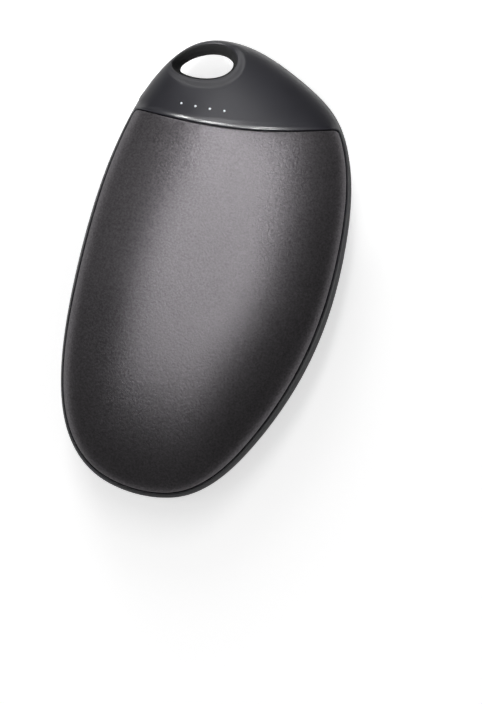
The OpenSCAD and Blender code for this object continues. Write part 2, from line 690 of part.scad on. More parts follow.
cell_nub_d = cell_d / 3;
cell_nub_h = 0.8;
groove_share = 0.93;
groove_y = 3;
module cell() {
    r = cell_d / 2;
    rotate([-90, 0, 0]) rotate_extrude() polygon([
        [0, 0], [r - cell_edge, 0], [r, cell_edge],
        [r, cell_l - groove_y - 2 * cell_edge], [r * groove_share, cell_l - groove_y - cell_edge],
        [r, cell_l - groove_y], [r, cell_l - cell_nub_h - cell_edge],
        [r - cell_edge, cell_l - cell_nub_h], [cell_nub_d / 2, cell_l - cell_nub_h],
        [cell_nub_d / 2, cell_l], [0, cell_l]]);
}
module cell_left() color("#2f6fb3") lifted() translate([-cell_x, cell_foot, 0]) cell();
module cell_right() color("#2f6fb3") lifted() translate([cell_x, cell_foot, 0]) cell();

// Rails beside the cells and a spine between them, joined by two ribs that stand on the floor
cradle_h = 6.4;
cradle_rail_h = 1.5;
cradle_mid = cell_top - cell_l / 2;
rib_w = 5;
rib_t = 1;
rib_reach_share = 0.55;
foot_w = 6;
module cradle_rib(y) {
    low = cell_d / 2 + rib_t;
    translate([0, y + rib_w / 2, 0]) rotate([90, 0, 0]) linear_extrude(height = rib_w)
        polygon([[-cradle_half, cradle_rail_h], [cradle_half, cradle_rail_h], [cradle_half, -cradle_h],
                 [rib_reach_share * cradle_half, -low], [-rib_reach_share * cradle_half, -low],
                 [-cradle_half, -cradle_h]]);
    foot = min(height_at([0, y - rib_w / 2], shell_t), height_at([0, y + rib_w / 2], shell_t)) - 2 * seat_gap;
    translate([-foot_w / 2, y - rib_w / 2, -foot]) cube([foot_w, rib_w, foot]);
}
rib_spread = 34;
module cell_cradle() color("#e4e2da") lifted() {
    difference() {
        union() {
            translate([-cradle_half, cradle_mid - cradle_l / 2, -cradle_h])
                cube([2 * cradle_half, cradle_l, cradle_h + cradle_rail_h]);
            for (side = [-1, 1]) cradle_rib(cradle_mid + side * rib_spread / 2);
        }
        for (side = [-1, 1])
            translate([side * cell_x, cradle_mid - cradle_l / 2 - over, 0]) rotate([-90, 0, 0])
                cylinder(d = cell_d + 2 * cell_fit, h = cradle_l + 2 * over);
        translate([-cell_x, cradle_mid - cradle_l / 2 - over, 0])
            cube([2 * cell_x, cradle_l + 2 * over, cradle_rail_h + over]);
    }
}

module strip(y0) {
    translate([-cell_x - strip_w / 2, y0, -strip_w / 2]) cube([2 * cell_x + strip_w, strip_t, strip_w]);
}
module top_strip() color("#c9c9c4") lifted() strip(cell_top + seat_gap);
module bottom_strip() color("#c9c9c4") lifted() {
    strip(cell_foot - seat_gap - strip_t);
    translate([-tab_w / 2, cell_foot - seat_gap - strip_t, 0]) cube([tab_w, strip_t, lead_z - lead_drop]);
}
tab_w = 3;

// Foam pads fill the space between the cells and the floors
pad_w = 22;
pad_l = 26;
pad_r = 3;
pad_t = foam_t - 8 * seat_gap;
module pad_plan() {
    square([pad_w - 2 * pad_r, pad_l], center = true);
    square([pad_w, pad_l - 2 * pad_r], center = true);
    for (sx = [-1, 1], sy = [-1, 1])
        translate([sx * (pad_w / 2 - pad_r), sy * (pad_l / 2 - pad_r)]) circle(r = pad_r);
}
module foam_pad() translate([0, cradle_mid, cell_d / 2 + seat_gap]) linear_extrude(height = pad_t) pad_plan();
module front_pad() color("#55555a") lifted() foam_pad();
module rear_pad() color("#55555a") lifted() flipped() foam_pad();

// Board: inside the wall, above the cells, clear of the eye and behind the ports

board_y = cell_top + board_gap;
board_steps = 48;
module board_plan() {
    inset = shell_t + board_edge;
    difference() {
        polygon([for (a = fan(0, 360, board_steps)) let (p = shell_point(a, 1, inset)) [p.x, p.y]]);
        translate([-body_w, -body_l]) square([2 * body_w, body_l + board_y]);
        polygon([for (b = eye_turns) eye_point(b, eye_flare + eye_wall + board_edge)]);
        for (p = screw_places) translate([p.x, p.y]) circle(d = boss_d + board_edge);
        translate(rim(port_a)) rotate(wall_out(port_a))
            translate([socket_x - nest_gap, -body_w / 2]) square([body_w, body_w]);
        translate(rim(button_a)) rotate(wall_out(button_a))
            translate([switch_x - switch_deep / 3, -body_w / 2]) square([body_w, body_w]);
    }
}
module main_board() color("#1d5b38") lifted()
    translate([0, 0, board_top - board_t]) linear_extrude(height = board_t) board_plan();

solder_gap = 0.6;
chip_w = 6;
chip_h = 0.9;
chip_y = board_y + board_edge + 0.8 * chip_w / 2;
module on_board(p) translate([p.x, p.y, board_top + solder_t]) children();
module controller_chip() color("#1a1a1c") lifted() on_board(chip_place)
    translate([-chip_w / 2, -chip_w / 2, 0]) cube([chip_w, chip_w, chip_h]);

coil_w = 6;
coil_h = 3;
wire_gap = 0.5;
sensor_x = -lead_d / 2 - wire_gap - wire_d / 2;
coil_place = [sensor_x - wire_d / 2 - wire_gap - coil_w / 2, board_y + board_edge + coil_w / 2];
chip_place = [coil_place.x - coil_w / 2 - solder_gap - chip_w / 2, chip_y];
coil_r = 1.2;
module boost_inductor() color("#3a3a3d") lifted() on_board(coil_place) {
    difference() {
        linear_extrude(height = coil_h) {
            square([coil_w, coil_w - 2 * coil_r], center = true);
            square([coil_w - 2 * coil_r, coil_w], center = true);
            for (sx = [-1, 1], sy = [-1, 1])
                translate([sx * (coil_w / 2 - coil_r), sy * (coil_w / 2 - coil_r)]) circle(r = coil_r);
        }
        translate([0, 0, coil_h - coil_r / 4]) cylinder(d = coil_w * 0.6, h = over);
    }
}

capacitor_w = 1.6;
capacitor_l = 3.2;
capacitor_h = 1.6;
capacitor_pitch = 2.2;
capacitor_place = [chip_place.x - chip_w / 2 - capacitor_w / 2 - solder_gap - capacitor_pitch,
                   board_y + capacitor_l / 2 + solder_gap];
module filter_capacitors() color("#b99b62") lifted()
    for (i = [0:1]) on_board(capacitor_place + [i * capacitor_pitch, 0])
        translate([-capacitor_w / 2, -capacitor_l / 2, 0]) cube([capacitor_w, capacitor_l, capacitor_h]);

module tail_socket() difference() {
    translate([tail_x - tail_socket_w / 2, tail_y - tail_socket_l / 2, 0])
        cube([tail_socket_w, tail_socket_l, tail_socket_h]);
    translate([tail_x - tail_w / 2 - seat_gap, tail_y - seat_gap, tail_socket_h / 2 - seat_gap])
        cube([tail_w + 2 * seat_gap, film_t + 2 * seat_gap, tail_socket_h]);
}
module heater_sockets() color("#efe9da") lifted() {
    translate([0, 0, board_top]) tail_socket();
    translate([0, 0, board_top - board_t]) flipped() tail_socket();
}

led_w = 1.6;
led_l = 0.9;
led_h = 0.6;
module status_leds() color("#f4f0d8") lifted()
    for (i = [0:light_count - 1]) on_board(light_place(i))
        translate([-led_w / 2, -led_l / 2, 0]) cube([led_w, led_l, led_h]);

light_sink = 0.1;
light_bar_t = 1;
light_bar_gap = 0.3;
module light_pipe() color("#e8eef2", 0.6) lifted() {
    foot = board_top + solder_t + led_h + light_bar_gap;
    lows = [for (i = [0:light_count - 1]) height_at(light_place(i), shell_t + light_bar_gap) - light_post_d / 2];
    bar_z = min(lows) - light_bar_t;
    for (i = [0:light_count - 1]) let (p = light_place(i)) {
        translate([p.x, p.y, foot]) cylinder(d = light_post_d, h = lows[i] - foot);
        translate([p.x, p.y, foot])
            cylinder(d = light_hole_d - 2 * light_fit, h = height_at(p, light_sink) - foot, $fn = 24);
    }
    for (i = [0:light_count - 2]) hull()
        for (j = [i, i + 1]) let (p = light_place(j))
            translate([p.x, p.y, bar_z]) cylinder(d = light_post_d / 2, h = light_bar_t, $fn = 16);
}

// Sockets

module usb_a_socket() color("#c4c4c8") lifted() at_wall(port_a) translate([socket_x, usb_a_y, 0]) {
    difference() {
        bar(-usb_a_l, 0, usb_a_w, usb_a_h);
        bar(-usb_a_l + usb_back, over, usb_a_w - 2 * usb_sheet, usb_a_h - 2 * usb_sheet);
        // Spring windows in the top and the bottom of the shell
        for (side = [-1, 1]) translate([-usb_a_l / 2, side * usb_a_w / 4, 0])
            translate([-usb_a_l / 6, -usb_a_w / 16, -usb_a_h]) cube([usb_a_l / 3, usb_a_w / 8, 2 * usb_a_h]);
    }
}
usb_back = 0.4;
usb_block = 2.4;
usb_a_tongue_w = 11.1;
usb_a_tongue_t = 1.8;
usb_a_tongue_back = 1.4;
module usb_a_tongue() color("#f2f2f0") lifted() at_wall(port_a) translate([socket_x, usb_a_y, 0]) {
    h = usb_a_h - 2 * usb_sheet - 2 * seat_gap;
    bar(-usb_a_l + usb_back + seat_gap, -usb_a_l + usb_block, usb_a_w - 2 * usb_sheet - 2 * seat_gap, h);
    translate([0, 0, h / 2 - usb_a_tongue_t / 2 - usb_a_tongue_rise])
        bar(-usb_a_l + usb_block, -usb_a_tongue_back, usb_a_tongue_w, usb_a_tongue_t);
}
usb_a_tongue_rise = 0.4;

module usb_c_socket() color("#c4c4c8") lifted() at_wall(port_a) translate([socket_x, usb_c_y, usb_c_z])
    difference() {
        slot_bar(-usb_c_l, 0, usb_c_w, usb_c_h);
        slot_bar(-usb_c_l + usb_back, over, usb_c_w - 2 * usb_sheet, usb_c_h - 2 * usb_sheet);
    }
usb_c_tongue_w = 6.7;
usb_c_tongue_t = 0.7;
usb_c_tongue_back = 0.8;
module usb_c_tongue() color("#1c1c1e") lifted() at_wall(port_a) translate([socket_x, usb_c_y, usb_c_z]) {
    slot_bar(-usb_c_l + usb_back + seat_gap, -usb_c_l + usb_block,
             usb_c_w - 2 * usb_sheet - 2 * seat_gap, usb_c_h - 2 * usb_sheet - 2 * seat_gap);
    bar(-usb_c_l + usb_block, -usb_c_tongue_back, usb_c_tongue_w, usb_c_tongue_t);
}

// Button and switch

module power_button() color("#232326") lifted() at_wall(button_a) {
    bevel = button_proud / 2;
    hull() {
        slot_bar(-shell_t, button_proud - bevel, button_l, button_h);
        slot_bar(-shell_t, button_proud, button_l - 2 * bevel, button_h - 2 * bevel);
    }
    slot_bar(flange_x, -shell_t + bevel, button_l, button_h);
    slot_bar(flange_x - button_flange_t, flange_x, button_l + 2 * button_flange, button_h + button_flange);
    translate([tip_x, 0, switch_z]) rotate([0, 90, 0]) cylinder(d = nub_d, h = flange_x - tip_x);
}
nub_d = 1.8;
plunger_d = 1.6;
plunger_fit = 0.05;
plunger_out = 1;
plunger_in = 0.9;
switch_w = 4.7;
switch_deep = 3.4;
switch_x = tip_x - seat_gap - plunger_out;
module switch_plunger() color("#d9d9d4") lifted() at_wall(button_a)
    translate([switch_x - plunger_in, 0, switch_z]) rotate([0, 90, 0])
        cylinder(d = plunger_d, h = plunger_in + plunger_out);
module tact_switch() color("#3c3c40") lifted() at_wall(button_a) difference() {
    translate([0, 0, switch_z]) bar(switch_x - switch_deep, switch_x, switch_w, switch_h);
    translate([switch_x - plunger_in - button_travel - plunger_fit, 0, switch_z]) rotate([0, 90, 0])
        cylinder(d = plunger_d + 2 * plunger_fit, h = plunger_in + over + button_travel);
}

// Port cover and its root

nail_r = 2.4;
nail_w = 4.6;
nail_depth = 0.6;
pad_reach = 0.6;
pad_clear = 1.2;
module port_cover() color("#27272a") lifted() at_wall(port_a) {
    difference() {
        wall_block(port_a, 0, cover_l, cover_h, cover_r, 0, cover_depth);
        // Scoop for a fingernail at the free end
        translate([block_front(port_a, cover_l / 2, 0).x + nail_r - nail_depth, cover_l / 2, -nail_w / 2])
            cylinder(r = nail_r, h = nail_w);
    }
    translate([0, usb_a_y, 0])
        bar(-cover_depth - pad_reach, -cover_depth, usb_a_w - pad_clear, usb_a_h - pad_clear);
    translate([0, usb_c_y, usb_c_z])
        slot_bar(-cover_depth - pad_reach, -cover_depth, usb_c_w - pad_clear, usb_c_h - pad_clear);
}
module cover_anchor() color("#27272a") lifted() at_wall(anchor_a) {
    inside = shell_t + anchor_head_gap;
    wall_block(anchor_a, 0, anchor_l, anchor_h, anchor_r, 0, anchor_t);
    translate([-inside - anchor_head / 2, 0, 0]) rotate([0, 90, 0])
        cylinder(d = stem_d, h = inside + anchor_head / 2 - anchor_t / 2);
    translate([-inside - anchor_head, 0, 0]) rotate([0, 90, 0]) cylinder(d = anchor_head_d, h = anchor_head);
}

module case_screws() color("#8d8d90") lifted() flipped()
    for (p = screw_places) let (z = screw_head_z(p)) translate([p.x, p.y, 0]) {
        translate([0, 0, -screw_bite]) cylinder(d = screw_d, h = screw_bite + z + screw_head_h / 4);
        difference() {
            translate([0, 0, z]) cylinder(d = screw_head_d, h = screw_head_h);
            for (turn = [0, 90]) rotate([0, 0, turn])
                translate([-screw_d / 2, -screw_d / 8, z + screw_head_h / 2]) cube([screw_d, screw_d / 4, screw_head_h]);
        }
    }

// Leads: tubes swept along short routes by hand

function unit(v) = v / norm(v);
module lead(points, widths, sides) {
    n = len(points);
    dirs = [for (i = [0:n - 1]) unit(points[min(n - 1, i + 1)] - points[max(0, i - 1)])];
    rings = [for (i = [0:n - 1])
        let (side = [1, 0, 0], up = unit(cross(dirs[i], side)), r = widths[min(i, len(widths) - 1)] / 2)
        [for (k = [0:sides - 1]) points[i] + r * (cos(k * 360 / sides) * side + sin(k * 360 / sides) * up)]];
    loft(points[0], rings, points[n - 1]);
}
lead_z = cell_d * 3 / 8;
lead_drop = 1.4 * lead_d;
lead_y = cell_foot - 2 * seat_gap - strip_t - lead_d / 2;
lead_end_y = board_y + 1.4;
module negative_lead() color("#1b1b1b") lifted() lead([
    [0, lead_y, lead_z / 2], [0, lead_y, lead_z - lead_drop], [0, lead_y + 0.3 * lead_d, lead_z - 0.4 * lead_d],
    [0, lead_y + 1.1 * lead_d, lead_z], [0, cell_foot + 3 * lead_d, lead_z], [0, cradle_mid, lead_z],
    [0, cell_top - 2 * lead_d, lead_z], [0, cell_top, lead_z - 0.3 * lead_d],
    [0, cell_top + 1.4 * lead_d, lead_z - 1.2 * lead_d], [0, lead_end_y, lead_z / 4],
    [0, lead_end_y, board_top + seat_gap]], [lead_d], 8);
positive_x = 9.8;
positive_y = cell_top + 2 * seat_gap + strip_t + lead_d / 2;
module positive_lead() color("#b3261e") lifted() lead([
    [positive_x, positive_y, strip_w / 2], [positive_x, positive_y, strip_w / 5],
    [positive_x, positive_y + 0.3 * lead_d, 0], [positive_x, lead_end_y - 0.4 * lead_d, board_top / 3],
    [positive_x, lead_end_y, board_top / 2], [positive_x, lead_end_y, board_top + seat_gap]], [lead_d], 8);

// The sensor's bead lies in the groove between the cells, and its wires run on to the board
bead_d = 1.8;
bead_y = 10;
bead_z = sqrt(pow((cell_d + bead_d) / 2 + seat_gap, 2) - cell_x * cell_x);
module thermistor() color("#2a2a55") lifted() lead([
    [0, bead_y, bead_z], [0, bead_y + bead_d / 2, bead_z], [0, bead_y + 2 * bead_d, bead_z],
    [0, bead_y + 2.5 * bead_d, bead_z], [0, cell_top - bead_d, bead_z + wire_d / 2],
    [sensor_x / 3, cell_top + bead_d / 2, bead_z], [0.8 * sensor_x, cell_top + 1.4 * bead_d, bead_z / 2],
    [sensor_x, lead_end_y - wire_d / 4, 0],
    [sensor_x, lead_end_y, board_top / 2], [sensor_x, lead_end_y, board_top + seat_gap]],
    [bead_d / 2, bead_d, bead_d, wire_d], 8);

front_case();
rear_case();
front_panel();
rear_panel();
front_tape();
rear_tape();
front_heater();
rear_heater();
cell_left();
cell_right();
cell_cradle();
top_strip();
bottom_strip();
front_pad();
rear_pad();
main_board();
controller_chip();
boost_inductor();
filter_capacitors();
heater_sockets();
status_leds();
light_pipe();
usb_a_socket();
usb_a_tongue();
usb_c_socket();
usb_c_tongue();
tact_switch();
switch_plunger();
power_button();
port_cover();
cover_anchor();
case_screws();
positive_lead();
negative_lead();
thermistor();
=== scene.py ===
import json
import math

import bmesh
import bpy
from mathutils import Matrix, Vector


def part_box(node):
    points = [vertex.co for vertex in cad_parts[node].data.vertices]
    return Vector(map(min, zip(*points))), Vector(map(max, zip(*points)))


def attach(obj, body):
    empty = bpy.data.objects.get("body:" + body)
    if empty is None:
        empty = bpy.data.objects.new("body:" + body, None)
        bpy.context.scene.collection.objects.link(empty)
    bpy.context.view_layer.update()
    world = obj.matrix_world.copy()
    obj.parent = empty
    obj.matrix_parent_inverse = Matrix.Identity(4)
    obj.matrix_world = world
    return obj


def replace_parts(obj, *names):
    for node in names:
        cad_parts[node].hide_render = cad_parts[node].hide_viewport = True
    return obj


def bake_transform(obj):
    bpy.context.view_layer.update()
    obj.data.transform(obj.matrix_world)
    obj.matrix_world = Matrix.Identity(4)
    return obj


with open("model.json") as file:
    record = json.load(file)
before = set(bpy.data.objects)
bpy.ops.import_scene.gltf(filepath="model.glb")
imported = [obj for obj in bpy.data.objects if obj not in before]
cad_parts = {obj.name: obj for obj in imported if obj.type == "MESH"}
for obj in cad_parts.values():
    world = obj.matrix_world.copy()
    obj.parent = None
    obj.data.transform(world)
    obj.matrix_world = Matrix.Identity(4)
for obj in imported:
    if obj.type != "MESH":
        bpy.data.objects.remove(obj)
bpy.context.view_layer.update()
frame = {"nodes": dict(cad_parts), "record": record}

# Camera

IMAGE_W, IMAGE_H = 482, 704
# One pixel of the picture in metres, and the body's lean in it
PIXEL = 0.0002543
LEAN = math.radians(14.5)
# The body's middle, and where the picture shows it
MIDDLE = Vector((0, 0, 0.014))
MIDDLE_PIXEL = Vector((208.1, 274.0))
TO_CAMERA = Vector((0.082, -0.044, 1))
DISTANCE, SENSOR = 0.6, 36


def set_camera():
    """Looks at the front almost squarely, with the body leaning to the right as in the picture."""
    back = TO_CAMERA.normalized()
    up = Vector((-math.sin(LEAN), math.cos(LEAN), 0))
    up = (up - back * up.dot(back)).normalized()
    right = up.cross(back)
    aim = (MIDDLE + (IMAGE_W / 2 - MIDDLE_PIXEL.x) * PIXEL * right
           - (IMAGE_H / 2 - MIDDLE_PIXEL.y) * PIXEL * up)
    camera = bpy.data.objects.new("camera", bpy.data.cameras.new("camera"))
    camera.data.sensor_fit = "VERTICAL"
    camera.data.sensor_height = SENSOR
    camera.data.lens = SENSOR * DISTANCE / (IMAGE_H * PIXEL)
    camera.data.clip_start = 0.01
    turn = Matrix((right, up, back)).transposed().to_4x4()
    camera.matrix_world = Matrix.Translation(aim + DISTANCE * back) @ turn
    bpy.context.scene.collection.objects.link(camera)
    bpy.context.scene.camera = camera


set_camera()

# The body's form, in millimetres about its middle plane

# Width and length are 0.01 mm under the CAD's, whose facets cut the outline's curve by as much
WIDTH, LENGTH, THICK = 64.99, 116.99, 28.0
# Half the height of the straight side band
BAND_H = 3.5
# Thickness of the panel, of its bond and of the moulding
PANEL_T, BOND_T, SHELL_T = 0.9, 0.3, 2.4
# The recess's inset from the outline, the gap round the panel and the panel's rolled edge
RECESS_INSET, PANEL_GAP, PANEL_ROLL = 0.8, 0.35, 0.3
# The seam between the cap and the panel is an arc about a point beyond the cap
SEAM_R = 99.0
SEAM_MIDDLE = Vector((-15.3, 35.2 + SEAM_R))
# How far the cap stands above the panel, and the width and depth of its lip along the seam and along the band
CAP_PROUD, LIP_RUN, LIP_FALL, BAND_LIP = 0.35, 2.0, 0.9, 0.2
# Share of the reach over which the cap rises from the seam or the outline, and over which two edges blend
CAP_EASE, EDGE_BLEND = 0.12, 0.03
# The flat crest's share of the reach, and the power by which the dome falls away from it
CREST, DOME_POWER = 0.2, 2.6
RISE = THICK / 2 - BAND_H
# The outline's reach from its hub every 15 degrees
REACHES = [1.00, 1.02, 1.06, 1.06, 0.985, 0.952, 0.975, 1.03, 1.11, 1.11, 1.06, 1.02,
           1.00, 1.02, 1.08, 1.13, 1.10, 1.04, 1.01, 1.01, 0.99, 0.96, 0.96, 0.98]


def clamp(t):
    return max(0.0, min(1.0, t))


def reach(a):
    """The outline's reach in a direction, from a smooth curve through REACHES."""
    at = a / 360 * len(REACHES)
    i = math.floor(at)
    f = at - i
    w, x, y, z = (REACHES[(i + k) % len(REACHES)] for k in (-1, 0, 1, 2))
    shares = ((1 - f) ** 3, 3 * f**3 - 6 * f * f + 4, 3 * f + 3 * f * f - 3 * f**3 + 1, f**3)
    return (w * shares[0] + x * shares[1] + y * shares[2] + z * shares[3]) / 6


def unit_rim(a):
    return Vector((math.cos(math.radians(a)), math.sin(math.radians(a)))) * reach(a)


UNIT = [unit_rim(a) for a in range(360)]
LOW = Vector((min(p.x for p in UNIT), min(p.y for p in UNIT)))
HIGH = Vector((max(p.x for p in UNIT), max(p.y for p in UNIT)))
SPAN_X, SPAN_Y = HIGH.x - LOW.x, HIGH.y - LOW.y


def placed(p):
    """From the outline's own units to millimetres."""
    return Vector((((p.x - LOW.x) / SPAN_X - 0.5) * WIDTH, ((p.y - LOW.y) / SPAN_Y - 0.5) * LENGTH))


def unplaced(p):
    return Vector(((p.x / WIDTH + 0.5) * SPAN_X + LOW.x, (p.y / LENGTH + 0.5) * SPAN_Y + LOW.y))


HUB = placed(Vector((0, 0)))


def rim(a):
    return placed(unit_rim(a))


def spoke(a):
    return rim(a) - HUB


def polar(p):
    """The outline's own direction of a point in plan, and its share of the outline's reach."""
    u = unplaced(p)
    a = math.degrees(math.atan2(u.y, u.x))
    return a, u.length / reach(a)


def swell(s):
    """0 on the flat crest, 1 at the band."""
    return clamp((s - CREST) / (1 - CREST))


def top(s):
    return BAND_H + RISE * math.sqrt(1 - swell(s) ** DOME_POWER)


def share_of_height(z):
    """The share of the reach at which the dome has a height above the middle plane."""
    if z <= BAND_H:
        return 1.0
    return CREST + (1 - CREST) * (1 - ((z - BAND_H) / RISE) ** 2) ** (1 / DOME_POWER)


def lean(a, s):
    """The dome's normal along a spoke: outward and up."""
    w = swell(s)
    out = RISE * DOME_POWER * w ** (DOME_POWER - 1) / (2 * (1 - CREST))
    up = spoke(a).length * math.sqrt(1 - w**DOME_POWER)
    return Vector((out, up)).normalized()


def shell_point(a, s, depth=0.0):
    """The point a depth below the dome, at a share of the spoke."""
    q, n = spoke(a), lean(a, s)
    plan = HUB + q * (s - depth * n.x / q.length)
    return Vector((plan.x, plan.y, top(s) - depth * n.y))


def arc_share(a, r):
    """The share of a spoke at which it crosses an arc about the seam's middle."""
    q, e = spoke(a), HUB - SEAM_MIDDLE
    b = -q.dot(e)
    d = b * b - q.dot(q) * (e.dot(e) - r * r)
    return 2.0 if d < 0 or b < 0 else (b - math.sqrt(d)) / q.dot(q)


def edge_share(a, inset, drop):
    """An edge that follows the outline and the seam, blended where the two meet."""
    x, y = 1 - inset / spoke(a).length, arc_share(a, SEAM_R + drop)
    h = max(0.0, EDGE_BLEND - abs(x - y))
    return min(x, y) - h * h / EDGE_BLEND / 4


def recess_share(a):
    return edge_share(a, RECESS_INSET, 0)


def panel_share(a):
    return edge_share(a, RECESS_INSET + PANEL_GAP, PANEL_GAP)


def seam_corner(out, within):
    """The direction in which the seam meets the outline's inset edge."""
    for _ in range(14):
        mid = (out + within) / 2
        if arc_share(mid, SEAM_R) < 1 - RECESS_INSET / spoke(mid).length:
            within = mid
        else:
            out = mid
    return (out + within) / 2


def proud(a, s):
    """How far the moulding stands above the dome."""
    return CAP_PROUD * clamp((1 - recess_share(a)) / CAP_EASE) * clamp((1 - s) / CAP_EASE)


def across_cap(a):
    """0 where the lip belongs to the side band, 1 along the seam."""
    return clamp((1 - recess_share(a)) / CAP_EASE - 0.5)


def lip_run(a):
    """The lip's width."""
    return BAND_LIP + (LIP_RUN - BAND_LIP) * across_cap(a)


def lip_fall(a):
    """The lip's depth."""
    return BAND_LIP + (LIP_FALL - BAND_LIP) * across_cap(a)


def lip_point(a, turn):
    s = recess_share(a) + (1 - math.sin(turn)) * lip_run(a) / spoke(a).length
    return shell_point(a, s, (1 - math.cos(turn)) * lip_fall(a) - proud(a, s))


def outer_share(a, height_share):
    """The share of a spoke at a share of the height from the band to the lip."""
    s = recess_share(a) + lip_run(a) / spoke(a).length
    w = math.sqrt(1 - swell(s) ** DOME_POWER)
    return CREST + (1 - CREST) * (1 - (w * height_share) ** 2) ** (1 / DOME_POWER)


def outer_point(a, s):
    return shell_point(a, s, -proud(a, s))


# Lanyard eye

# The eye's middle and turn, and the length and width of its opening, its flare and how egg-shaped it is
EYE = Vector((-13.6, 51.2))
EYE_TURN = math.radians(17)
EYE_L, EYE_W, EYE_FLARE, EYE_EGG = 13.8, 7.0, 1.8, 0.16
# The dish is widest and deepest toward the body's middle
DISH_W, DISH_DEPTH, RIM_ROUND, DISH_TURN = 2.2, 0.7, 0.45, math.radians(110)
# Shares of the outline's reach that the dish, the rim, the wall and the parting line keep inside. The rim is
# drawn in by RIM_PULL as it turns down.
DISH_LIMIT, RIM_LIMIT, RIM_PULL, WALL_LIMIT, PARTING_LIMIT = 0.993, 0.984, 0.008, 0.976, 0.978


def eye_point(b, grow):
    """A point round the eye's egg, grown outward."""
    x = (EYE_L / 2 + grow) * math.cos(b)
    y = (EYE_W / 2 + grow) * (1 + EYE_EGG * math.cos(b)) * math.sin(b)
    return EYE + Matrix.Rotation(EYE_TURN, 2) @ Vector((x, y))


def kept_in(p, limit):
    """A point moved toward the hub where it lies past a share of the outline's reach."""
    return HUB + (p - HUB) * min(1, limit / polar(p)[1])


def eye_fade(b):
    """0 where the dish is narrowest, 1 where it is widest."""
    return (1 - math.cos(b - DISH_TURN)) / 2


# Places on the side wall: +X points out of the wall, +Y to the left seen from outside


def wall_out(a):
    """The direction out of the wall, in plan."""
    q = rim(a - 15) - rim(a + 15)
    return math.atan2(-q.x, q.y) + math.pi


def wall_frame(a):
    """The place on the wall at a."""
    r = rim(a)
    return Matrix.Translation((r.x, r.y, 0)) @ Matrix.Rotation(wall_out(a), 4, "Z")


def to_wall(a, p):
    """A point in plan, as measured from the place on the wall at a."""
    return Matrix.Rotation(-wall_out(a), 2) @ (p - rim(a))


def outline_at(a, y):
    """The direction in which the outline lies a distance along the wall from a."""
    low, high = a - 40, a + 40
    for _ in range(16):
        mid = (low + high) / 2
        if to_wall(a, rim(mid)).y < y:
            low = mid
        else:
            high = mid
    return (low + high) / 2


def wall_x(a, y, z):
    """How far out of its place on the wall the surface is."""
    b = outline_at(a, y)
    return to_wall(a, HUB + spoke(b) * share_of_height(abs(z))).x


# Directions of the ports and of the button, in degrees
PORT_A, BUTTON_A = 61, 139
COVER_L, COVER_H, COVER_R, COVER_DEPTH, COVER_GAP = 26.0, 9.2, 1.5, 3.1, 0.3
# Outsides of the two sockets and their places along the cover
USB_A_Y, USB_A_L, USB_A_H = 5.22, 13.1, 5.7
USB_C_Y, USB_C_Z, USB_C_L, USB_C_H = -7.3, -1.27, 8.94, 3.16
WINDOW_GAP = 0.4
# The board's edge behind the sockets
BOARD_X, BOARD_Y, BOARD_Z, BOARD_L, BOARD_T = -4.1, 1.2, -3.475, 28.4, 1.25
# The nest in the wall round the sockets
NEST_DEPTH, NEST_FROM, NEST_TO = 5.5, -12.4, 13.6
# The cover's root: a block, its stem and the head that holds it
ANCHOR_L, ANCHOR_H, ANCHOR_T, ANCHOR_GAP = 3.6, 5.0, 1.3, 0.35
STEM_D, HEAD_D, HEAD_T = 2.5, 3.75, 1.0
ANCHOR_Y = -COVER_L / 2 - ANCHOR_GAP - ANCHOR_L / 2
ANCHOR_A = outline_at(PORT_A, ANCHOR_Y)
# The web between the root and the cover, and how far it runs under each
WEB_H, WEB_T, WEB_DEPTH, WEB_IN_ROOT, WEB_IN_COVER = 3.4, 0.45, 0.75, 1.6, 1.4
# The button, its flange inside the wall and the nub that meets the switch
BUTTON_L, BUTTON_H, BUTTON_PROUD, BUTTON_GAP = 8.0, 3.6, 0.5, 0.15
FLANGE, FLANGE_T, FLANGE_DEPTH = 1.0, 0.8, 0.45
NUB_D, NUB_Z, NUB_END = 1.8, -1.1, -4.65
# The small lights on an arc along the seam
LIGHTS, LIGHT_D, LIGHT_STEP, LIGHT_ABOVE_SEAM, FIRST_LIGHT_X = 4, 0.7, 3.7, 3.9, -16.1

# Materials


class Wire:
    """A shader socket that takes part in sums; make() adds any other node."""

    def __init__(self, tree, socket=None):
        self.tree, self.socket = tree, socket

    def plug(self, node_input, value):
        if isinstance(value, Wire):
            self.tree.links.new(value.socket, node_input)
        else:
            node_input.default_value = value

    def make(self, kind, settings, inputs, out=0):
        node = self.tree.nodes.new(kind)
        for key, value in settings.items():
            setattr(node, key, value)
        for key, value in inputs.items():
            self.plug(node.inputs[key], value)
        return Wire(self.tree, node.outputs[out])

    def math(self, operation, *values):
        return self.make("ShaderNodeMath", {"operation": operation}, dict(enumerate(values)))

    def __add__(self, other):
        return self.math("ADD", self, other)

    def __sub__(self, other):
        return self.math("SUBTRACT", self, other)

    def __rsub__(self, other):
        return self.math("SUBTRACT", other, self)

    def __mul__(self, other):
        return self.math("MULTIPLY", self, other)

    def __truediv__(self, other):
        return self.math("DIVIDE", self, other)

    def __pow__(self, other):
        return self.math("POWER", self, other)

    __radd__, __rmul__ = __add__, __mul__

    def within(self, low, high):
        """0 at low and 1 at high, and held there past them."""
        return self.make("ShaderNodeMapRange", {"clamp": True}, {0: self, 1: low, 2: high, 3: 0.0, 4: 1.0})

    def blend(self, low, high):
        return self.make("ShaderNodeMix", {"data_type": "RGBA"}, {0: self, 6: low, 7: high}, out=2)

    def tint(self, low, high):
        """A colour between two, by this value."""
        return self.blend((*low, 1), (*high, 1))


def start_material(name):
    material = bpy.data.materials.new(name)
    material.use_nodes = True
    tree = material.node_tree
    shader = tree.nodes["Principled BSDF"]
    return material, Wire(tree), shader


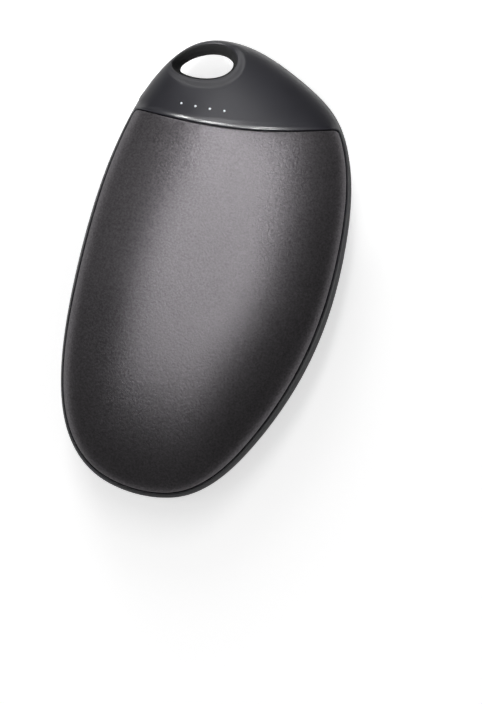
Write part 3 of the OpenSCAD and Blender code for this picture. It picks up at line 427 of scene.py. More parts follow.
def place_of(wire, stretch=(1, 1, 1)):
    """Object coordinates, stretched along the body's own directions."""
    spot = wire.make("ShaderNodeTexCoord", {}, {}, out="Object")
    return wire.make("ShaderNodeMapping", {}, {"Vector": spot, "Scale": stretch})


def speckle(wire, spot, scale, detail=2.0):
    return wire.make("ShaderNodeTexNoise", {}, {"Vector": spot, "Scale": scale, "Detail": detail})


def bump(wire, height, depth, strength):
    return wire.make("ShaderNodeBump", {}, {"Height": height, "Distance": depth, "Strength": strength})


def finish_of(name, dark, light, rough, grain, depth, stretch=(1, 1, 1), **constants):
    """A finish with its own grain: a colour that drifts between two, a roughness band and a fine relief.
    grain is the number of grains a metre, depth the grain's height in metres."""
    material, wire, shader = start_material(name)
    spot = place_of(wire, stretch)
    fine = speckle(wire, spot, grain)
    broad = speckle(wire, spot, 60.0, 3.0)
    mixed = fine * 0.6 + broad * 0.4
    wire.plug(shader.inputs["Base Color"], mixed.within(0.3, 0.7).tint(dark, light))
    wire.plug(shader.inputs["Roughness"], broad.within(0.3, 0.7) * (rough[1] - rough[0]) + rough[0])
    wire.plug(shader.inputs["Normal"], bump(wire, fine, depth, 1.0))
    for key, value in constants.items():
        shader.inputs[key.replace("_", " ")].default_value = value
    return material


def panel_finish():
    """Bead-blasted, anodised aluminium: a dense fine grain over a slow drift."""
    material, wire, shader = start_material("panel_metal")
    spot = place_of(wire)
    grit = speckle(wire, spot, 1900.0, 2.0)
    fine = speckle(wire, spot, 4200.0, 1.0)
    drift = speckle(wire, spot, 28.0, 3.0)
    tone = (grit * 0.55 + fine * 0.25 + drift * 0.2).within(0.3, 0.7)
    wire.plug(shader.inputs["Base Color"], tone.tint((0.115, 0.108, 0.115), (0.25, 0.236, 0.25)))
    wire.plug(shader.inputs["Roughness"], drift.within(0.3, 0.7) * 0.04 + grit * 0.14 + 0.25)
    wire.plug(shader.inputs["Normal"], bump(wire, grit + fine * 0.5, 0.00007, 0.6))
    shader.inputs["Metallic"].default_value = 0.9
    return material


def millimetres(wire, directions):
    """Object coordinates in millimetres, as many as asked for of the three directions."""
    place = place_of(wire)
    return [wire.make("ShaderNodeSeparateXYZ", {}, {0: place}, out=k) * 1000 for k in range(directions)]


def in_eye(wire):
    """1 on the wall of the lanyard eye, which is duller and painted in shade, 0 elsewhere on the moulding."""
    x, y = millimetres(wire, 2)
    x, y = x - EYE.x, y - EYE.y
    cos, sin = math.cos(EYE_TURN), math.sin(EYE_TURN)
    grow = EYE_FLARE - RIM_ROUND * 0.5
    u = (x * cos + y * sin) / (EYE_L / 2 + grow)
    v = (y * cos - x * sin) / (EYE_W / 2 + grow) / (u * EYE_EGG + 1)
    return 1 - (u * u + v * v).within(0.96, 1.0)


def lip_and_band(wire):
    """1 on the cap's rounded lip along the seam, and 1 on the side band below it."""
    x, y, z = millimetres(wire, 3)
    x, y = x - SEAM_MIDDLE.x, y - SEAM_MIDDLE.y
    from_middle = (x * x + y * y) ** 0.5
    height = wire.math("ABSOLUTE", z - THICK / 2)
    start = SEAM_R - LIP_RUN
    lip = from_middle.within(start + 0.1, start + 1.1) * height.within(BAND_H + 1, BAND_H + 4)
    band = from_middle.within(SEAM_R - 6, SEAM_R + 4) * height.within(BAND_H + 3.5, BAND_H + 2)
    return lip, band


def cap_finish():
    """Satin black moulding with a spark-eroded skin, faint handling marks and a polished lip. On the lanyard
    eye's wall the skin is duller, and its colour is darkened to near black as painted shade.
    """
    material, wire, shader = start_material("cap_plastic")
    spot = place_of(wire)
    eye = in_eye(wire)
    lip, band = lip_and_band(wire)
    skin = speckle(wire, spot, 4200.0, 2.0)
    handling = speckle(wire, spot, 55.0, 4.0)
    scuff = speckle(wire, place_of(wire, (1, 6, 1)), 260.0, 3.0)
    black = handling.within(0.3, 0.7).tint((0.016, 0.0158, 0.0195), (0.021, 0.0207, 0.0255))
    # painted shade: the eye's wall is coloured near black, darker than the rest of the black moulding, for
    # the shade inside the hole
    painted_shade_black = skin.tint((0.004, 0.004, 0.004), (0.008, 0.008, 0.009))
    wire.plug(shader.inputs["Base Color"], eye.blend(black, painted_shade_black))
    rough = handling.within(0.35, 0.7) * 0.07 + scuff.within(0.55, 0.8) * 0.05 + 0.33 - lip * 0.05
    for dull in (eye * 0.85, band * 0.65):
        rough = wire.math("MAXIMUM", rough, dull)
    wire.plug(shader.inputs["Roughness"], rough)
    wire.plug(shader.inputs["Normal"], bump(wire, skin, 0.000006, 0.6))
    wire.plug(shader.inputs["Coat Weight"], lip)
    shader.inputs["Coat Roughness"].default_value = 0.2
    return material


# Dark and light colour, roughness from and to, grains a metre, the grain's height, and what else is its own;
# the light pipes' emission among these is a painted glow
PLAIN_FINISHES = {
    "cover_rubber": ((0.016, 0.016, 0.017), (0.026, 0.026, 0.027), (0.5, 0.64), 3000, 0.00001, {}),
    "button_plastic": ((0.02, 0.02, 0.023), (0.03, 0.03, 0.034), (0.2, 0.3), 4200, 0.000005, {}),
    # painted glow: the light pipes give off a faint bluish-white light, though no lamp lights them
    "light_pipe_plastic": ((0.78, 0.83, 0.88), (0.88, 0.92, 0.95), (0.15, 0.3), 900, 0.000004,
                           {"Emission_Color": (0.9, 0.95, 1, 1), "Emission_Strength": 0.1}),
    "foam": ((0.05, 0.05, 0.056), (0.1, 0.1, 0.11), (0.85, 0.98), 1600, 0.0002, {}),
    "bond_tape": ((0.68, 0.68, 0.64), (0.78, 0.78, 0.75), (0.6, 0.75), 2200, 0.00001, {}),
    "heater_film": ((0.42, 0.17, 0.03), (0.62, 0.29, 0.07), (0.18, 0.3), 700, 0.00001,
                    {"stretch": (1, 4, 1), "Coat_Weight": 0.4}),
    "cell_wrap": ((0.02, 0.12, 0.34), (0.035, 0.18, 0.45), (0.22, 0.34), 500, 0.00001,
                  {"stretch": (4, 1, 4)}),
    "cradle_plastic": ((0.64, 0.62, 0.54), (0.74, 0.72, 0.64), (0.42, 0.55), 2600, 0.00001, {}),
    "nickel_strip": ((0.52, 0.51, 0.48), (0.68, 0.67, 0.64), (0.22, 0.36), 900, 0.00001,
                     {"stretch": (1, 12, 12), "Metallic": 1.0}),
    "board_laminate": ((0.007, 0.09, 0.035), (0.014, 0.15, 0.062), (0.25, 0.4), 1200, 0.00001, {}),
    "chip_plastic": ((0.014, 0.014, 0.015), (0.028, 0.028, 0.03), (0.5, 0.62), 5000, 0.00001, {}),
    "ferrite": ((0.035, 0.035, 0.038), (0.07, 0.07, 0.075), (0.55, 0.7), 3000, 0.00002, {}),
    "capacitor_ceramic": ((0.38, 0.27, 0.12), (0.5, 0.37, 0.19), (0.4, 0.5), 2500, 0.00001, {}),
    "socket_plastic": ((0.74, 0.71, 0.61), (0.84, 0.81, 0.72), (0.35, 0.45), 2400, 0.00001, {}),
    "led_body": ((0.84, 0.84, 0.72), (0.93, 0.93, 0.84), (0.25, 0.35), 2500, 0.000005, {}),
    "socket_steel": ((0.5, 0.5, 0.52), (0.66, 0.66, 0.68), (0.2, 0.34), 1400, 0.000005,
                     {"stretch": (6, 6, 1), "Metallic": 1.0}),
    "tongue_white": ((0.78, 0.78, 0.76), (0.87, 0.87, 0.85), (0.3, 0.4), 2400, 0.000005, {}),
    "tongue_black": ((0.015, 0.015, 0.016), (0.026, 0.026, 0.028), (0.35, 0.5), 2400, 0.000005, {}),
    "switch_body": ((0.03, 0.03, 0.034), (0.05, 0.05, 0.056), (0.4, 0.5), 2400, 0.000005, {}),
    "switch_tip": ((0.62, 0.62, 0.58), (0.74, 0.74, 0.7), (0.3, 0.4), 2400, 0.000005, {}),
    "screw_steel": ((0.3, 0.3, 0.31), (0.42, 0.42, 0.43), (0.25, 0.4), 1800, 0.00001, {"Metallic": 1.0}),
    "wire_red": ((0.38, 0.014, 0.01), (0.5, 0.026, 0.02), (0.4, 0.5), 1500, 0.00001, {}),
    "wire_black": ((0.011, 0.011, 0.011), (0.02, 0.02, 0.02), (0.4, 0.5), 1500, 0.00001, {}),
    "sensor_blue": ((0.022, 0.022, 0.09), (0.04, 0.04, 0.15), (0.35, 0.5), 1500, 0.00001, {}),
}
FINISHES = {"cap_plastic": cap_finish(), "panel_metal": panel_finish()}
for slot_name, (*values, own) in PLAIN_FINISHES.items():
    FINISHES[slot_name] = finish_of(slot_name, *values, **own)


def place_in_body():
    """From millimetres about the middle plane to metres above the floor."""
    return Matrix.Scale(0.001, 4) @ Matrix.Translation((0, 0, THICK / 2))


def finished(bm, name, body, slot, sharp=32.0):
    """Makes a form into a piece with its finish, riding on a body."""
    bm.transform(place_in_body())
    mesh = bpy.data.meshes.new(name)
    bm.to_mesh(mesh)
    bm.free()
    mesh.shade_smooth()
    mesh.set_sharp_from_angle(angle=math.radians(sharp))
    mesh.materials.append(FINISHES[slot])
    piece = bpy.data.objects.new(name, mesh)
    bpy.context.scene.collection.objects.link(piece)
    if body:
        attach(piece, body)
    return piece


# Closed forms wound round the body


def fan(a, b, count):
    """Directions from a up to b, b left out."""
    return [a + (b - a) * i / count for i in range(count)]


RIGHT, LEFT = seam_corner(20, 90), seam_corner(170, 90)
# The directions between which the eye's surround is laid into the cap
EYE_FROM, EYE_TO = 93.0, 134.0
COLUMNS = (fan(RIGHT - 3, RIGHT + 3, 12) + fan(RIGHT + 3, EYE_FROM, 36) + fan(EYE_FROM, EYE_TO, 56)
           + fan(EYE_TO, LEFT - 3, 8) + fan(LEFT - 3, LEFT + 3, 12) + fan(LEFT + 3, RIGHT - 3 + 360, 176))


# A corner's mark is its row times this, plus its column
ROW_MARK = 1000


def wound(rows):
    """A grid wound once round the body: each row is a function of a column's direction. Its first and last
    row close on one point. Returns the mesh and the layer that holds each corner's row and column."""
    bm = bmesh.new()
    bmesh.ops.create_grid(bm, x_segments=len(rows) - 1, y_segments=len(COLUMNS), size=1)
    spot = bm.verts.layers.int.new("spot")
    bm.verts.ensure_lookup_table()
    for k, v in enumerate(bm.verts):
        j, i = divmod(k, len(rows))
        v.co = rows[i](COLUMNS[j % len(COLUMNS)])
        v[spot] = i * ROW_MARK + j % len(COLUMNS)
    bmesh.ops.remove_doubles(bm, verts=bm.verts, dist=0.0001)
    bmesh.ops.recalc_face_normals(bm, faces=bm.faces)
    return bm, spot


# The eye's wall inside the cavity, room for the wide end of its egg, and the step of the search along a spoke
EYE_WALL, EGG_ROOM, SPOKE_STEP = 1.3, 1.1, 0.004


def cavity_share(a):
    """How far the cavity reaches along a spoke before it meets the eye's wall or the ports' nest."""
    q = spoke(a)
    eye_turned = Matrix.Rotation(-EYE_TURN, 2)
    grown = EYE_FLARE + EYE_WALL
    s = 0.5
    while s < 1:
        p = HUB + q * s
        e = eye_turned @ (p - EYE)
        n = to_wall(PORT_A, p)
        long_way, wide_way = e.x / (EYE_L / 2 + grown), e.y / ((EYE_W / 2 + grown) * EGG_ROOM)
        meets_eye = long_way**2 + wide_way**2 < 1
        meets_nest = n.x > -NEST_DEPTH + SHELL_T and NEST_FROM < n.y < NEST_TO
        if meets_eye or meets_nest:
            return s
        s += SPOKE_STEP
    return 1.0


CAVITY = {a: cavity_share(a) for a in COLUMNS}
# The halves meet in a fine groove, bevelled by this much
PARTING = 0.12
DOME_STEPS, LIP_STEPS, EYE_STEPS = 24, 8, 19


def at_height(a, z, inset=0.0):
    """A point on the side band, moved in by an inset."""
    r = rim(a) - spoke(a).normalized() * inset
    return Vector((r.x, r.y, z))


def shell_rows():
    """The half's section, from the middle of its inside out over the band and the lip to the middle of the
    recess."""
    rows = [lambda a: Vector((HUB.x, HUB.y, THICK / 2 - SHELL_T)), lambda a: shell_point(a, CREST, SHELL_T)]
    for s in (0.42, 0.62, 0.78, 0.88, 0.95, 0.985, 1):
        rows.append(lambda a, s=s: shell_point(a, s * CAVITY[a], SHELL_T))
    rows.append(lambda a: shell_point(a, CAVITY[a], SHELL_T) * Vector((1, 1, 0)))
    inner_flat = len(rows) - 1
    rows.append(lambda a: at_height(a, 0, PARTING))
    for z in (PARTING, 1.2, 2.4, BAND_H):
        rows.append(lambda a, z=z: at_height(a, z))
    band_top = len(rows) - 1
    for k in range(1, DOME_STEPS + 1):
        rise = math.sin(k / DOME_STEPS * math.pi / 2)
        rows.append(lambda a, r=rise: outer_point(a, outer_share(a, r)))
    for k in range(1, LIP_STEPS + 1):
        rows.append(lambda a, t=k / LIP_STEPS * math.pi / 2: lip_point(a, t))
    floor = PANEL_T + BOND_T
    for depth in (PANEL_T, floor):
        rows.append(lambda a, d=depth: shell_point(a, recess_share(a), d))
    for s in (0.97, 0.84, 0.62, 0.42):
        rows.append(lambda a, s=s: shell_point(a, panel_share(a) * s, floor))
    rows += [lambda a: shell_point(a, CREST, floor), lambda a: Vector((HUB.x, HUB.y, THICK / 2 - floor))]
    return rows, inner_flat, band_top


def smooth_step(t):
    return t * t * (3 - 2 * t)


def surface_at(p):
    """The moulding's height over a point in plan."""
    a, s = polar(p)
    return top(s) + proud(a, min(s, 1))


# Rings of the eye's surround: over the cap, down the dish, round the rim, down the flare, and the parting's
OVER, DOWN, ROUND, FLARE = 7, 6, 5, 9
EYE_RINGS = OVER + DOWN + ROUND + FLARE + 1


def eye_ring(b, start, step):
    """A ring's corner in direction b of the eye. start is the direction and height where that corner sets out
    from the cap."""
    edge = kept_in(eye_point(b, EYE_FLARE + DISH_W * (0.35 + 0.65 * eye_fade(b))), DISH_LIMIT)
    lip = kept_in(eye_point(b, EYE_FLARE), RIM_LIMIT)
    depth = DISH_DEPTH * max(0.3, eye_fade(b))
    rim_z = surface_at(lip) - depth
    if step <= OVER:
        f = step / OVER
        a0, h0 = start
        a1, s1 = polar(edge)
        a1 += 360 * round((a0 - a1) / 360)
        h1 = math.sqrt(1 - swell(s1) ** DOME_POWER)
        a, h = a0 + (a1 - a0) * f, h0 + (h1 - h0) * f
        s = CREST + (1 - CREST) * (1 - h * h) ** (1 / DOME_POWER)
        return outer_point(a, s)
    step -= OVER
    if step <= DOWN:
        f = step / DOWN
        p = edge.lerp(lip, f)
        return Vector((p.x, p.y, surface_at(p) - depth * smooth_step(f)))
    step -= DOWN
    if step <= ROUND:
        t = step / ROUND * math.pi / 2
        p = kept_in(eye_point(b, EYE_FLARE - RIM_ROUND * math.sin(t)), RIM_LIMIT - RIM_PULL * math.sin(t))
        return Vector((p.x, p.y, rim_z - RIM_ROUND * (1 - math.cos(t))))
    step -= ROUND
    if step <= FLARE:
        f = 1 - step / (FLARE + 0.2)
        p = kept_in(eye_point(b, (EYE_FLARE - RIM_ROUND) * f**2.6), WALL_LIMIT)
        return Vector((p.x, p.y, max(PARTING, (rim_z - RIM_ROUND) * f)))
    p = kept_in(eye_point(b, PARTING), PARTING_LIMIT)
    return Vector((p.x, p.y, 0))


def edges_within(bm, corners):
    """The edges whose two ends are among some corners."""
    return [e for e in bm.edges if e.verts[0] in corners and e.verts[1] in corners]


def case_half():
    """One moulded half: recess floor, lip, cap, band, the lanyard eye and the inside."""
    rows, inner_flat, band_top = shell_rows()
    bm, spot = wound(rows)
    first, last = COLUMNS.index(EYE_FROM), COLUMNS.index(EYE_TO)

    def inside(face, low, high):
        marks = [divmod(v[spot], ROW_MARK) for v in face.verts]
        return all(low <= i <= high and first <= j <= last for i, j in marks)

    patch = [f for f in bm.faces if inside(f, band_top, band_top + EYE_STEPS)]
    strip = [f for f in bm.faces if inside(f, inner_flat, inner_flat + 1)]
    loop = {e for f in patch for e in f.edges if sum(g in patch for g in e.link_faces) == 1}
    border = {e for f in strip for e in f.edges if sum(g in strip for g in e.link_faces) == 1}
    starts = {}
    for v in {v for e in loop for v in e.verts}:
        i, j = divmod(v[spot], ROW_MARK)
        p = Vector((v.co.x, v.co.y))
        a = COLUMNS[j]
        s = 1.0 if i == band_top else outer_share(a, math.sin((i - band_top) / DOME_STEPS * math.pi / 2))
        d = Matrix.Rotation(-EYE_TURN, 2) @ (p - EYE)
        b = math.atan2(d.y / EYE_W, d.x / EYE_L)
        starts[v[spot]] = (b, (a, math.sqrt(1 - swell(s) ** DOME_POWER)))
    bmesh.ops.delete(bm, geom=patch, context="FACES_ONLY")
    bmesh.ops.delete(bm, geom=strip, context="FACES_ONLY")
    loop = list(loop)
    for step in range(1, EYE_RINGS + 1):
        made = bmesh.ops.extrude_edge_only(bm, edges=loop)["geom"]
        corners = [v for v in made if isinstance(v, bmesh.types.BMVert)]
        loop = [e for e in made if isinstance(e, bmesh.types.BMEdge) and set(e.verts) <= set(corners)]
        for v in corners:
            b, start = starts[v[spot]]
            v.co = eye_ring(b, start, step)
    bmesh.ops.triangle_fill(bm, use_beauty=True, use_dissolve=False, edges=loop + list(border),
                            normal=(0, 0, -1))
    loose = [v for v in bm.verts if not v.link_faces]
    bmesh.ops.delete(bm, geom=loose, context="VERTS")
    bm.verts.layers.int.remove(spot)
    bmesh.ops.recalc_face_normals(bm, faces=bm.faces)
    return bm


def bar(bm, x0, x1, w, h, y=0.0, z=0.0, corner=0.0, segments=6):
    """A bar along X with rounded long edges."""
    made = bmesh.ops.create_cube(bm, size=1)["verts"]
    bmesh.ops.scale(bm, verts=made, vec=(x1 - x0, w, h))
    bmesh.ops.translate(bm, verts=made, vec=((x0 + x1) / 2, y, z))
    if corner:
        long_edges = [e for e in edges_within(bm, set(made)) if abs(e.verts[0].co.x - e.verts[1].co.x) > 1e-6]
        bmesh.ops.bevel(bm, geom=long_edges, offset=corner, segments=segments, profile=0.5, affect="EDGES",
                        material=-1)
        bmesh.ops.remove_doubles(bm, verts=bm.verts, dist=0.01)


def rod(bm, x0, x1, d, z=0.0):
    """A round rod along X."""
    across = Matrix.Translation(((x0 + x1) / 2, 0, z)) @ Matrix.Rotation(math.pi / 2, 4, "Y")
    bmesh.ops.create_cone(bm, cap_ends=True, segments=32, radius1=d / 2, radius2=d / 2, depth=x1 - x0,
                          matrix=across)


# How far a tool reaches past the wall and inside it, and what a rounded end lacks of a half circle
PAST, INSIDE, HAIR = 2, 10, 0.001


def cutters(front):
    """Port pocket and its windows, the root's channel, the button's slot and the light holes."""
    tools = []

    def tool(a, draw):
        bm = bmesh.new()
        draw(bm)
        if a is not None:
            bm.transform(wall_frame(a))
        bmesh.ops.recalc_face_normals(bm, faces=bm.faces)
        tools.append(bm)

    floor = -COVER_DEPTH - COVER_GAP
    tool(PORT_A, lambda bm: bar(bm, floor, PAST, COVER_L + 2 * COVER_GAP, COVER_H + 2 * COVER_GAP,
                                corner=COVER_R + COVER_GAP))
    tool(PORT_A, lambda bm: bar(bm, -INSIDE, floor + 0.5, USB_A_L + WINDOW_GAP, USB_A_H + WINDOW_GAP,
                                y=USB_A_Y, corner=0.3, segments=3))
    tool(PORT_A, lambda bm: bar(bm, -INSIDE, floor + 0.5, USB_C_L + WINDOW_GAP, USB_C_H + WINDOW_GAP,
                                y=USB_C_Y, z=USB_C_Z, corner=1.75))
    tool(PORT_A, lambda bm: bar(bm, -INSIDE, BOARD_X, BOARD_L, BOARD_T, y=BOARD_Y, z=BOARD_Z))
    channel = ANCHOR_L + 2 * ANCHOR_GAP + 1
    tool(ANCHOR_A, lambda bm: bar(bm, -ANCHOR_T - 0.05, PAST, channel, ANCHOR_H + 0.1,
                                  y=channel / 2 - ANCHOR_L / 2 - ANCHOR_GAP, corner=0.8, segments=4))
    tool(ANCHOR_A, lambda bm: rod(bm, -6, 0, STEM_D + 0.1))
    slot_h = BUTTON_H + 2 * BUTTON_GAP
    tool(BUTTON_A, lambda bm: bar(bm, -4.5, PAST, BUTTON_L + 2 * BUTTON_GAP, slot_h, corner=slot_h / 2 - HAIR,
                                  segments=10))
    if front:
        for p in light_places():
            tool(None, lambda bm, p=p: bmesh.ops.create_cone(
                bm, cap_ends=True, segments=24, radius1=LIGHT_D / 2, radius2=LIGHT_D / 2, depth=12,
                matrix=Matrix.Translation((p.x, p.y, 12))))
    return tools


def light_places():
    """The light holes, evenly spaced along an arc above the seam."""
    arc = SEAM_R - LIGHT_ABOVE_SEAM
    first = math.asin((FIRST_LIGHT_X - SEAM_MIDDLE.x) / arc)
    turns = [first + i * 2 * math.asin(LIGHT_STEP / arc / 2) for i in range(LIGHTS)]
    return [SEAM_MIDDLE + arc * Vector((math.sin(t), -math.cos(t))) for t in turns]


def carved(bm, tools):
    """Cuts tools out of a form and returns the form."""
    blanks = []
    for form in [bm] + tools:
        mesh = bpy.data.meshes.new("blank")
        form.to_mesh(mesh)
        form.free()
        blank = bpy.data.objects.new("blank", mesh)
        bpy.context.scene.collection.objects.link(blank)
        blanks.append(blank)
    for blank in blanks[1:]:
        cut = blanks[0].modifiers.new("cut", "BOOLEAN")
        cut.operation, cut.solver, cut.object = "DIFFERENCE", "EXACT", blank
    graph = bpy.context.evaluated_depsgraph_get()
    result = bpy.data.meshes.new_from_object(blanks[0].evaluated_get(graph))
    form = bmesh.new()
    form.from_mesh(result)
    for blank in blanks:
        bpy.data.objects.remove(blank)
    return form


def case(name, front):
    """A half of the moulding; the rear one is the front's mirror image without light holes."""
    bm = case_half()
    if not front:
        bmesh.ops.scale(bm, verts=bm.verts, vec=(1, 1, -1))
        bmesh.ops.reverse_faces(bm, faces=bm.faces)
    return finished(carved(bm, cutters(front)), name, "housing", "cap_plastic")


# Rows round a panel's rolled edge and over its crown
ROLL_STEPS, CROWN_STEPS = 6, 26


def panel(name, side):
    """A metal panel with a rolled edge."""
    rows = [lambda a: Vector((HUB.x, HUB.y, THICK / 2 - PANEL_T)), lambda a: shell_point(a, CREST, PANEL_T)]
    for s in (0.42, 0.62, 0.84, 1):
        rows.append(lambda a, s=s: shell_point(a, panel_share(a) * s, PANEL_T))

    def rolled(a, t):
        inset = PANEL_ROLL * (1 - math.cos(t)) / spoke(a).length
        return shell_point(a, panel_share(a) - inset, PANEL_ROLL * (1 - math.sin(t)))

    def crowned(a, f):
        return shell_point(a, CREST + (panel_share(a) - PANEL_ROLL / spoke(a).length - CREST) * f)

    for k in range(ROLL_STEPS + 1):
        rows.append(lambda a, t=k / ROLL_STEPS * math.pi / 2: rolled(a, t))
    for k in range(1, CROWN_STEPS):
        rows.append(lambda a, f=(1 - k / CROWN_STEPS) ** 0.8: crowned(a, f))
    rows += [lambda a: shell_point(a, CREST), lambda a: Vector((HUB.x, HUB.y, THICK / 2))]
    bm, spot = wound(rows)
    bm.verts.layers.int.remove(spot)
    bmesh.ops.scale(bm, verts=bm.verts, vec=(1, 1, side))
    if side < 0:
        bmesh.ops.reverse_faces(bm, faces=bm.faces)
    return finished(bm, name, "housing", "panel_metal", 50)


EASE = 0.75


def spread(count):
    """Shares from -1 to 1, closer together toward both ends."""
    shares = []
    for k in range(count + 1):
        t = 2 * k / count - 1
        shares.append(t * (1 - EASE) + EASE * math.sin(t * math.pi / 2))
    return shares


def wall_block(a, l, h, r, back, columns, rows, round_r, dent=None):
    """A block l long and h high on the wall at a, back deep. Its front follows the body, with corners of
    radius r and an edge of radius round_r."""
    bm = bmesh.new()
    across, up = spread(columns), spread(rows)
    bmesh.ops.create_grid(bm, x_segments=rows, y_segments=columns, size=1)
    bm.verts.ensure_lookup_table()
    for k, v in enumerate(bm.verts):
        j, i = divmod(k, rows + 1)
        y = across[j] * l / 2
        past = max(0.0, abs(y) - (l / 2 - r))
        half = h / 2 - r + math.sqrt(max(0.0, r * r - past * past))
        z = up[i] * half
        qy, qz = abs(y) - l / 2 + r, abs(z) - h / 2 + r
        inward = r - math.hypot(max(qy, 0), max(qz, 0)) - min(max(qy, qz), 0)
        edge = max(0.0, round_r - inward)
        drop = round_r - math.sqrt(max(0.0, round_r * round_r - edge * edge))
        if dent:
            drop += dent(y, z)
        v.co = (wall_x(a, y, z) - drop, y, z)
    front = bm.faces[:]
    ends = bmesh.ops.extrude_face_region(bm, geom=front, use_keep_orig=True)["geom"]
    for v in ends:
        if isinstance(v, bmesh.types.BMVert):
            v.co.x = -back
    bmesh.ops.remove_doubles(bm, verts=bm.verts, dist=0.0001)
    return bm


# How much smaller a plug is than its socket's outside
PLUG_INSET = 1.2
# The scoop's reach each way, its depth and how far its middle lies past the cover's end
DENT_L, DENT_H, DENT_DEPTH, DENT_PAST = 2.6, 2.9, 0.55, 0.4


def nail_dent(y, z):
    """A shallow scoop for a fingernail at the cover's free end."""
    d = math.hypot((y - COVER_L / 2 - DENT_PAST) / DENT_L, z / DENT_H)
    return DENT_DEPTH * (1 - smooth_step(min(1, d)))


def port_cover():
    """The rubber flap, with a low plug on its back for each socket."""
    bm = wall_block(PORT_A, COVER_L, COVER_H, COVER_R, COVER_DEPTH, columns=96, rows=32, round_r=0.45,
                    dent=nail_dent)
    low, high = -COVER_DEPTH - 0.6, -COVER_DEPTH + 0.1
    bar(bm, low, high, USB_A_L - PLUG_INSET, USB_A_H - PLUG_INSET, y=USB_A_Y, corner=0.5, segments=3)
    bar(bm, low, high, USB_C_L - PLUG_INSET, USB_C_H - PLUG_INSET, y=USB_C_Y, z=USB_C_Z, corner=0.95)
    bm.transform(wall_frame(PORT_A))
    bmesh.ops.recalc_face_normals(bm, faces=bm.faces)
    return finished(bm, "port_cover_rubber", "port_cover", "cover_rubber")


def cover_root():
    """The block beside the cover, its stem through the wall and the head behind it."""
    bm = wall_block(ANCHOR_A, ANCHOR_L, ANCHOR_H, 0.83, ANCHOR_T, columns=24, rows=24, round_r=0.35)
    rod(bm, -SHELL_T - 0.8, -ANCHOR_T / 2, STEM_D)
    rod(bm, -SHELL_T - 0.3 - HEAD_T, -SHELL_T - 0.3, HEAD_D)
    bm.transform(wall_frame(ANCHOR_A))
    bmesh.ops.recalc_face_normals(bm, faces=bm.faces)
    return finished(bm, "cover_root_rubber", "housing", "cover_rubber")


def cover_web():
    """The thin rubber web between the root and the cover."""
    bm = bmesh.new()
    made = bmesh.ops.create_grid(bm, x_segments=8, y_segments=14, size=1)["verts"]
    low, high = -COVER_L / 2 - WEB_IN_ROOT, -COVER_L / 2 + WEB_IN_COVER
    for v in made:
        y = low + (high - low) * (v.co.y + 1) / 2
        v.co = (wall_x(PORT_A, y, 0) - WEB_DEPTH, y, v.co.x * WEB_H / 2)
    ends = bmesh.ops.extrude_face_region(bm, geom=bm.faces[:], use_keep_orig=True)["geom"]
    for v in ends:
        if isinstance(v, bmesh.types.BMVert):
            v.co.x -= WEB_T
    bm.transform(wall_frame(PORT_A))
    bmesh.ops.recalc_face_normals(bm, faces=bm.faces)
    web = finished(bm, "cover_web_rubber", None, "cover_rubber")
    spot = place_in_body() @ wall_frame(PORT_A)
    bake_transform(web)


def button():
    """Side button: a bevelled bar with a crowned front, its flange and its nub."""
    bm = bmesh.new()
    flange_x, flange_h = -SHELL_T - FLANGE_DEPTH, BUTTON_H + FLANGE
    bar(bm, flange_x, BUTTON_PROUD, BUTTON_L, BUTTON_H, corner=BUTTON_H / 2 - HAIR, segments=12)
    front = max(bm.faces, key=lambda f: f.calc_center_median().x)
    bmesh.ops.bevel(bm, geom=list(front.edges), offset=0.28, segments=4, profile=0.5, affect="EDGES",
                    material=-1)
    front = max(bm.faces, key=lambda f: f.calc_center_median().x)
    for thickness, lift in ((0.35, 0.02), (0.45, 0.015)):
        bmesh.ops.inset_region(bm, faces=[front], thickness=thickness, use_even_offset=True)
        bmesh.ops.translate(bm, verts=front.verts, vec=(lift, 0, 0))
    bar(bm, flange_x - FLANGE_T, flange_x, BUTTON_L + 2 * FLANGE, flange_h, corner=flange_h / 2 - HAIR,
        segments=10)
    rod(bm, NUB_END, flange_x - 0.4, NUB_D, z=NUB_Z)
    bm.transform(wall_frame(BUTTON_A))
    bmesh.ops.recalc_face_normals(bm, faces=bm.faces)
    return finished(bm, "power_button_cap", "power_button", "button_plastic")


# How far a squeezed pad's sides bulge
FOAM_BULGE = 0.25


def foam_pad(name, node):
    """A die-cut foam pad, squeezed between its neighbours so that its sides bulge."""
    low, high = (Vector(c) * 1000 - Vector((0, 0, THICK / 2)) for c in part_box(node))
    size, middle = high - low, (high + low) / 2
    bm = bmesh.new()
    bmesh.ops.create_cube(bm, size=1)
    bmesh.ops.scale(bm, verts=bm.verts, vec=(size.x - 2 * FOAM_BULGE, size.y - 2 * FOAM_BULGE, size.z))
    upright = [e for e in bm.edges if abs(e.verts[0].co.z - e.verts[1].co.z) > 1e-6]
    bmesh.ops.bevel(bm, geom=upright, offset=3, segments=8, profile=0.5, affect="EDGES", material=-1)
    flats = [f for f in bm.faces if abs(f.normal.z) > 0.9]
    level = [e for f in flats for e in f.edges]
    bmesh.ops.bevel(bm, geom=level, offset=0.5, segments=4, profile=0.5, affect="EDGES", material=-1)
    for v in bm.verts:
        bulge = 1 - (2 * v.co.z / size.z) ** 2
        out = Vector((v.co.x, v.co.y, 0)).normalized()
        v.co += out * FOAM_BULGE * bulge
    bmesh.ops.translate(bm, verts=bm.verts, vec=middle)
    bmesh.ops.recalc_face_normals(bm, faces=bm.faces)
    pad = finished(bm, name, "housing", "foam")
    return pad


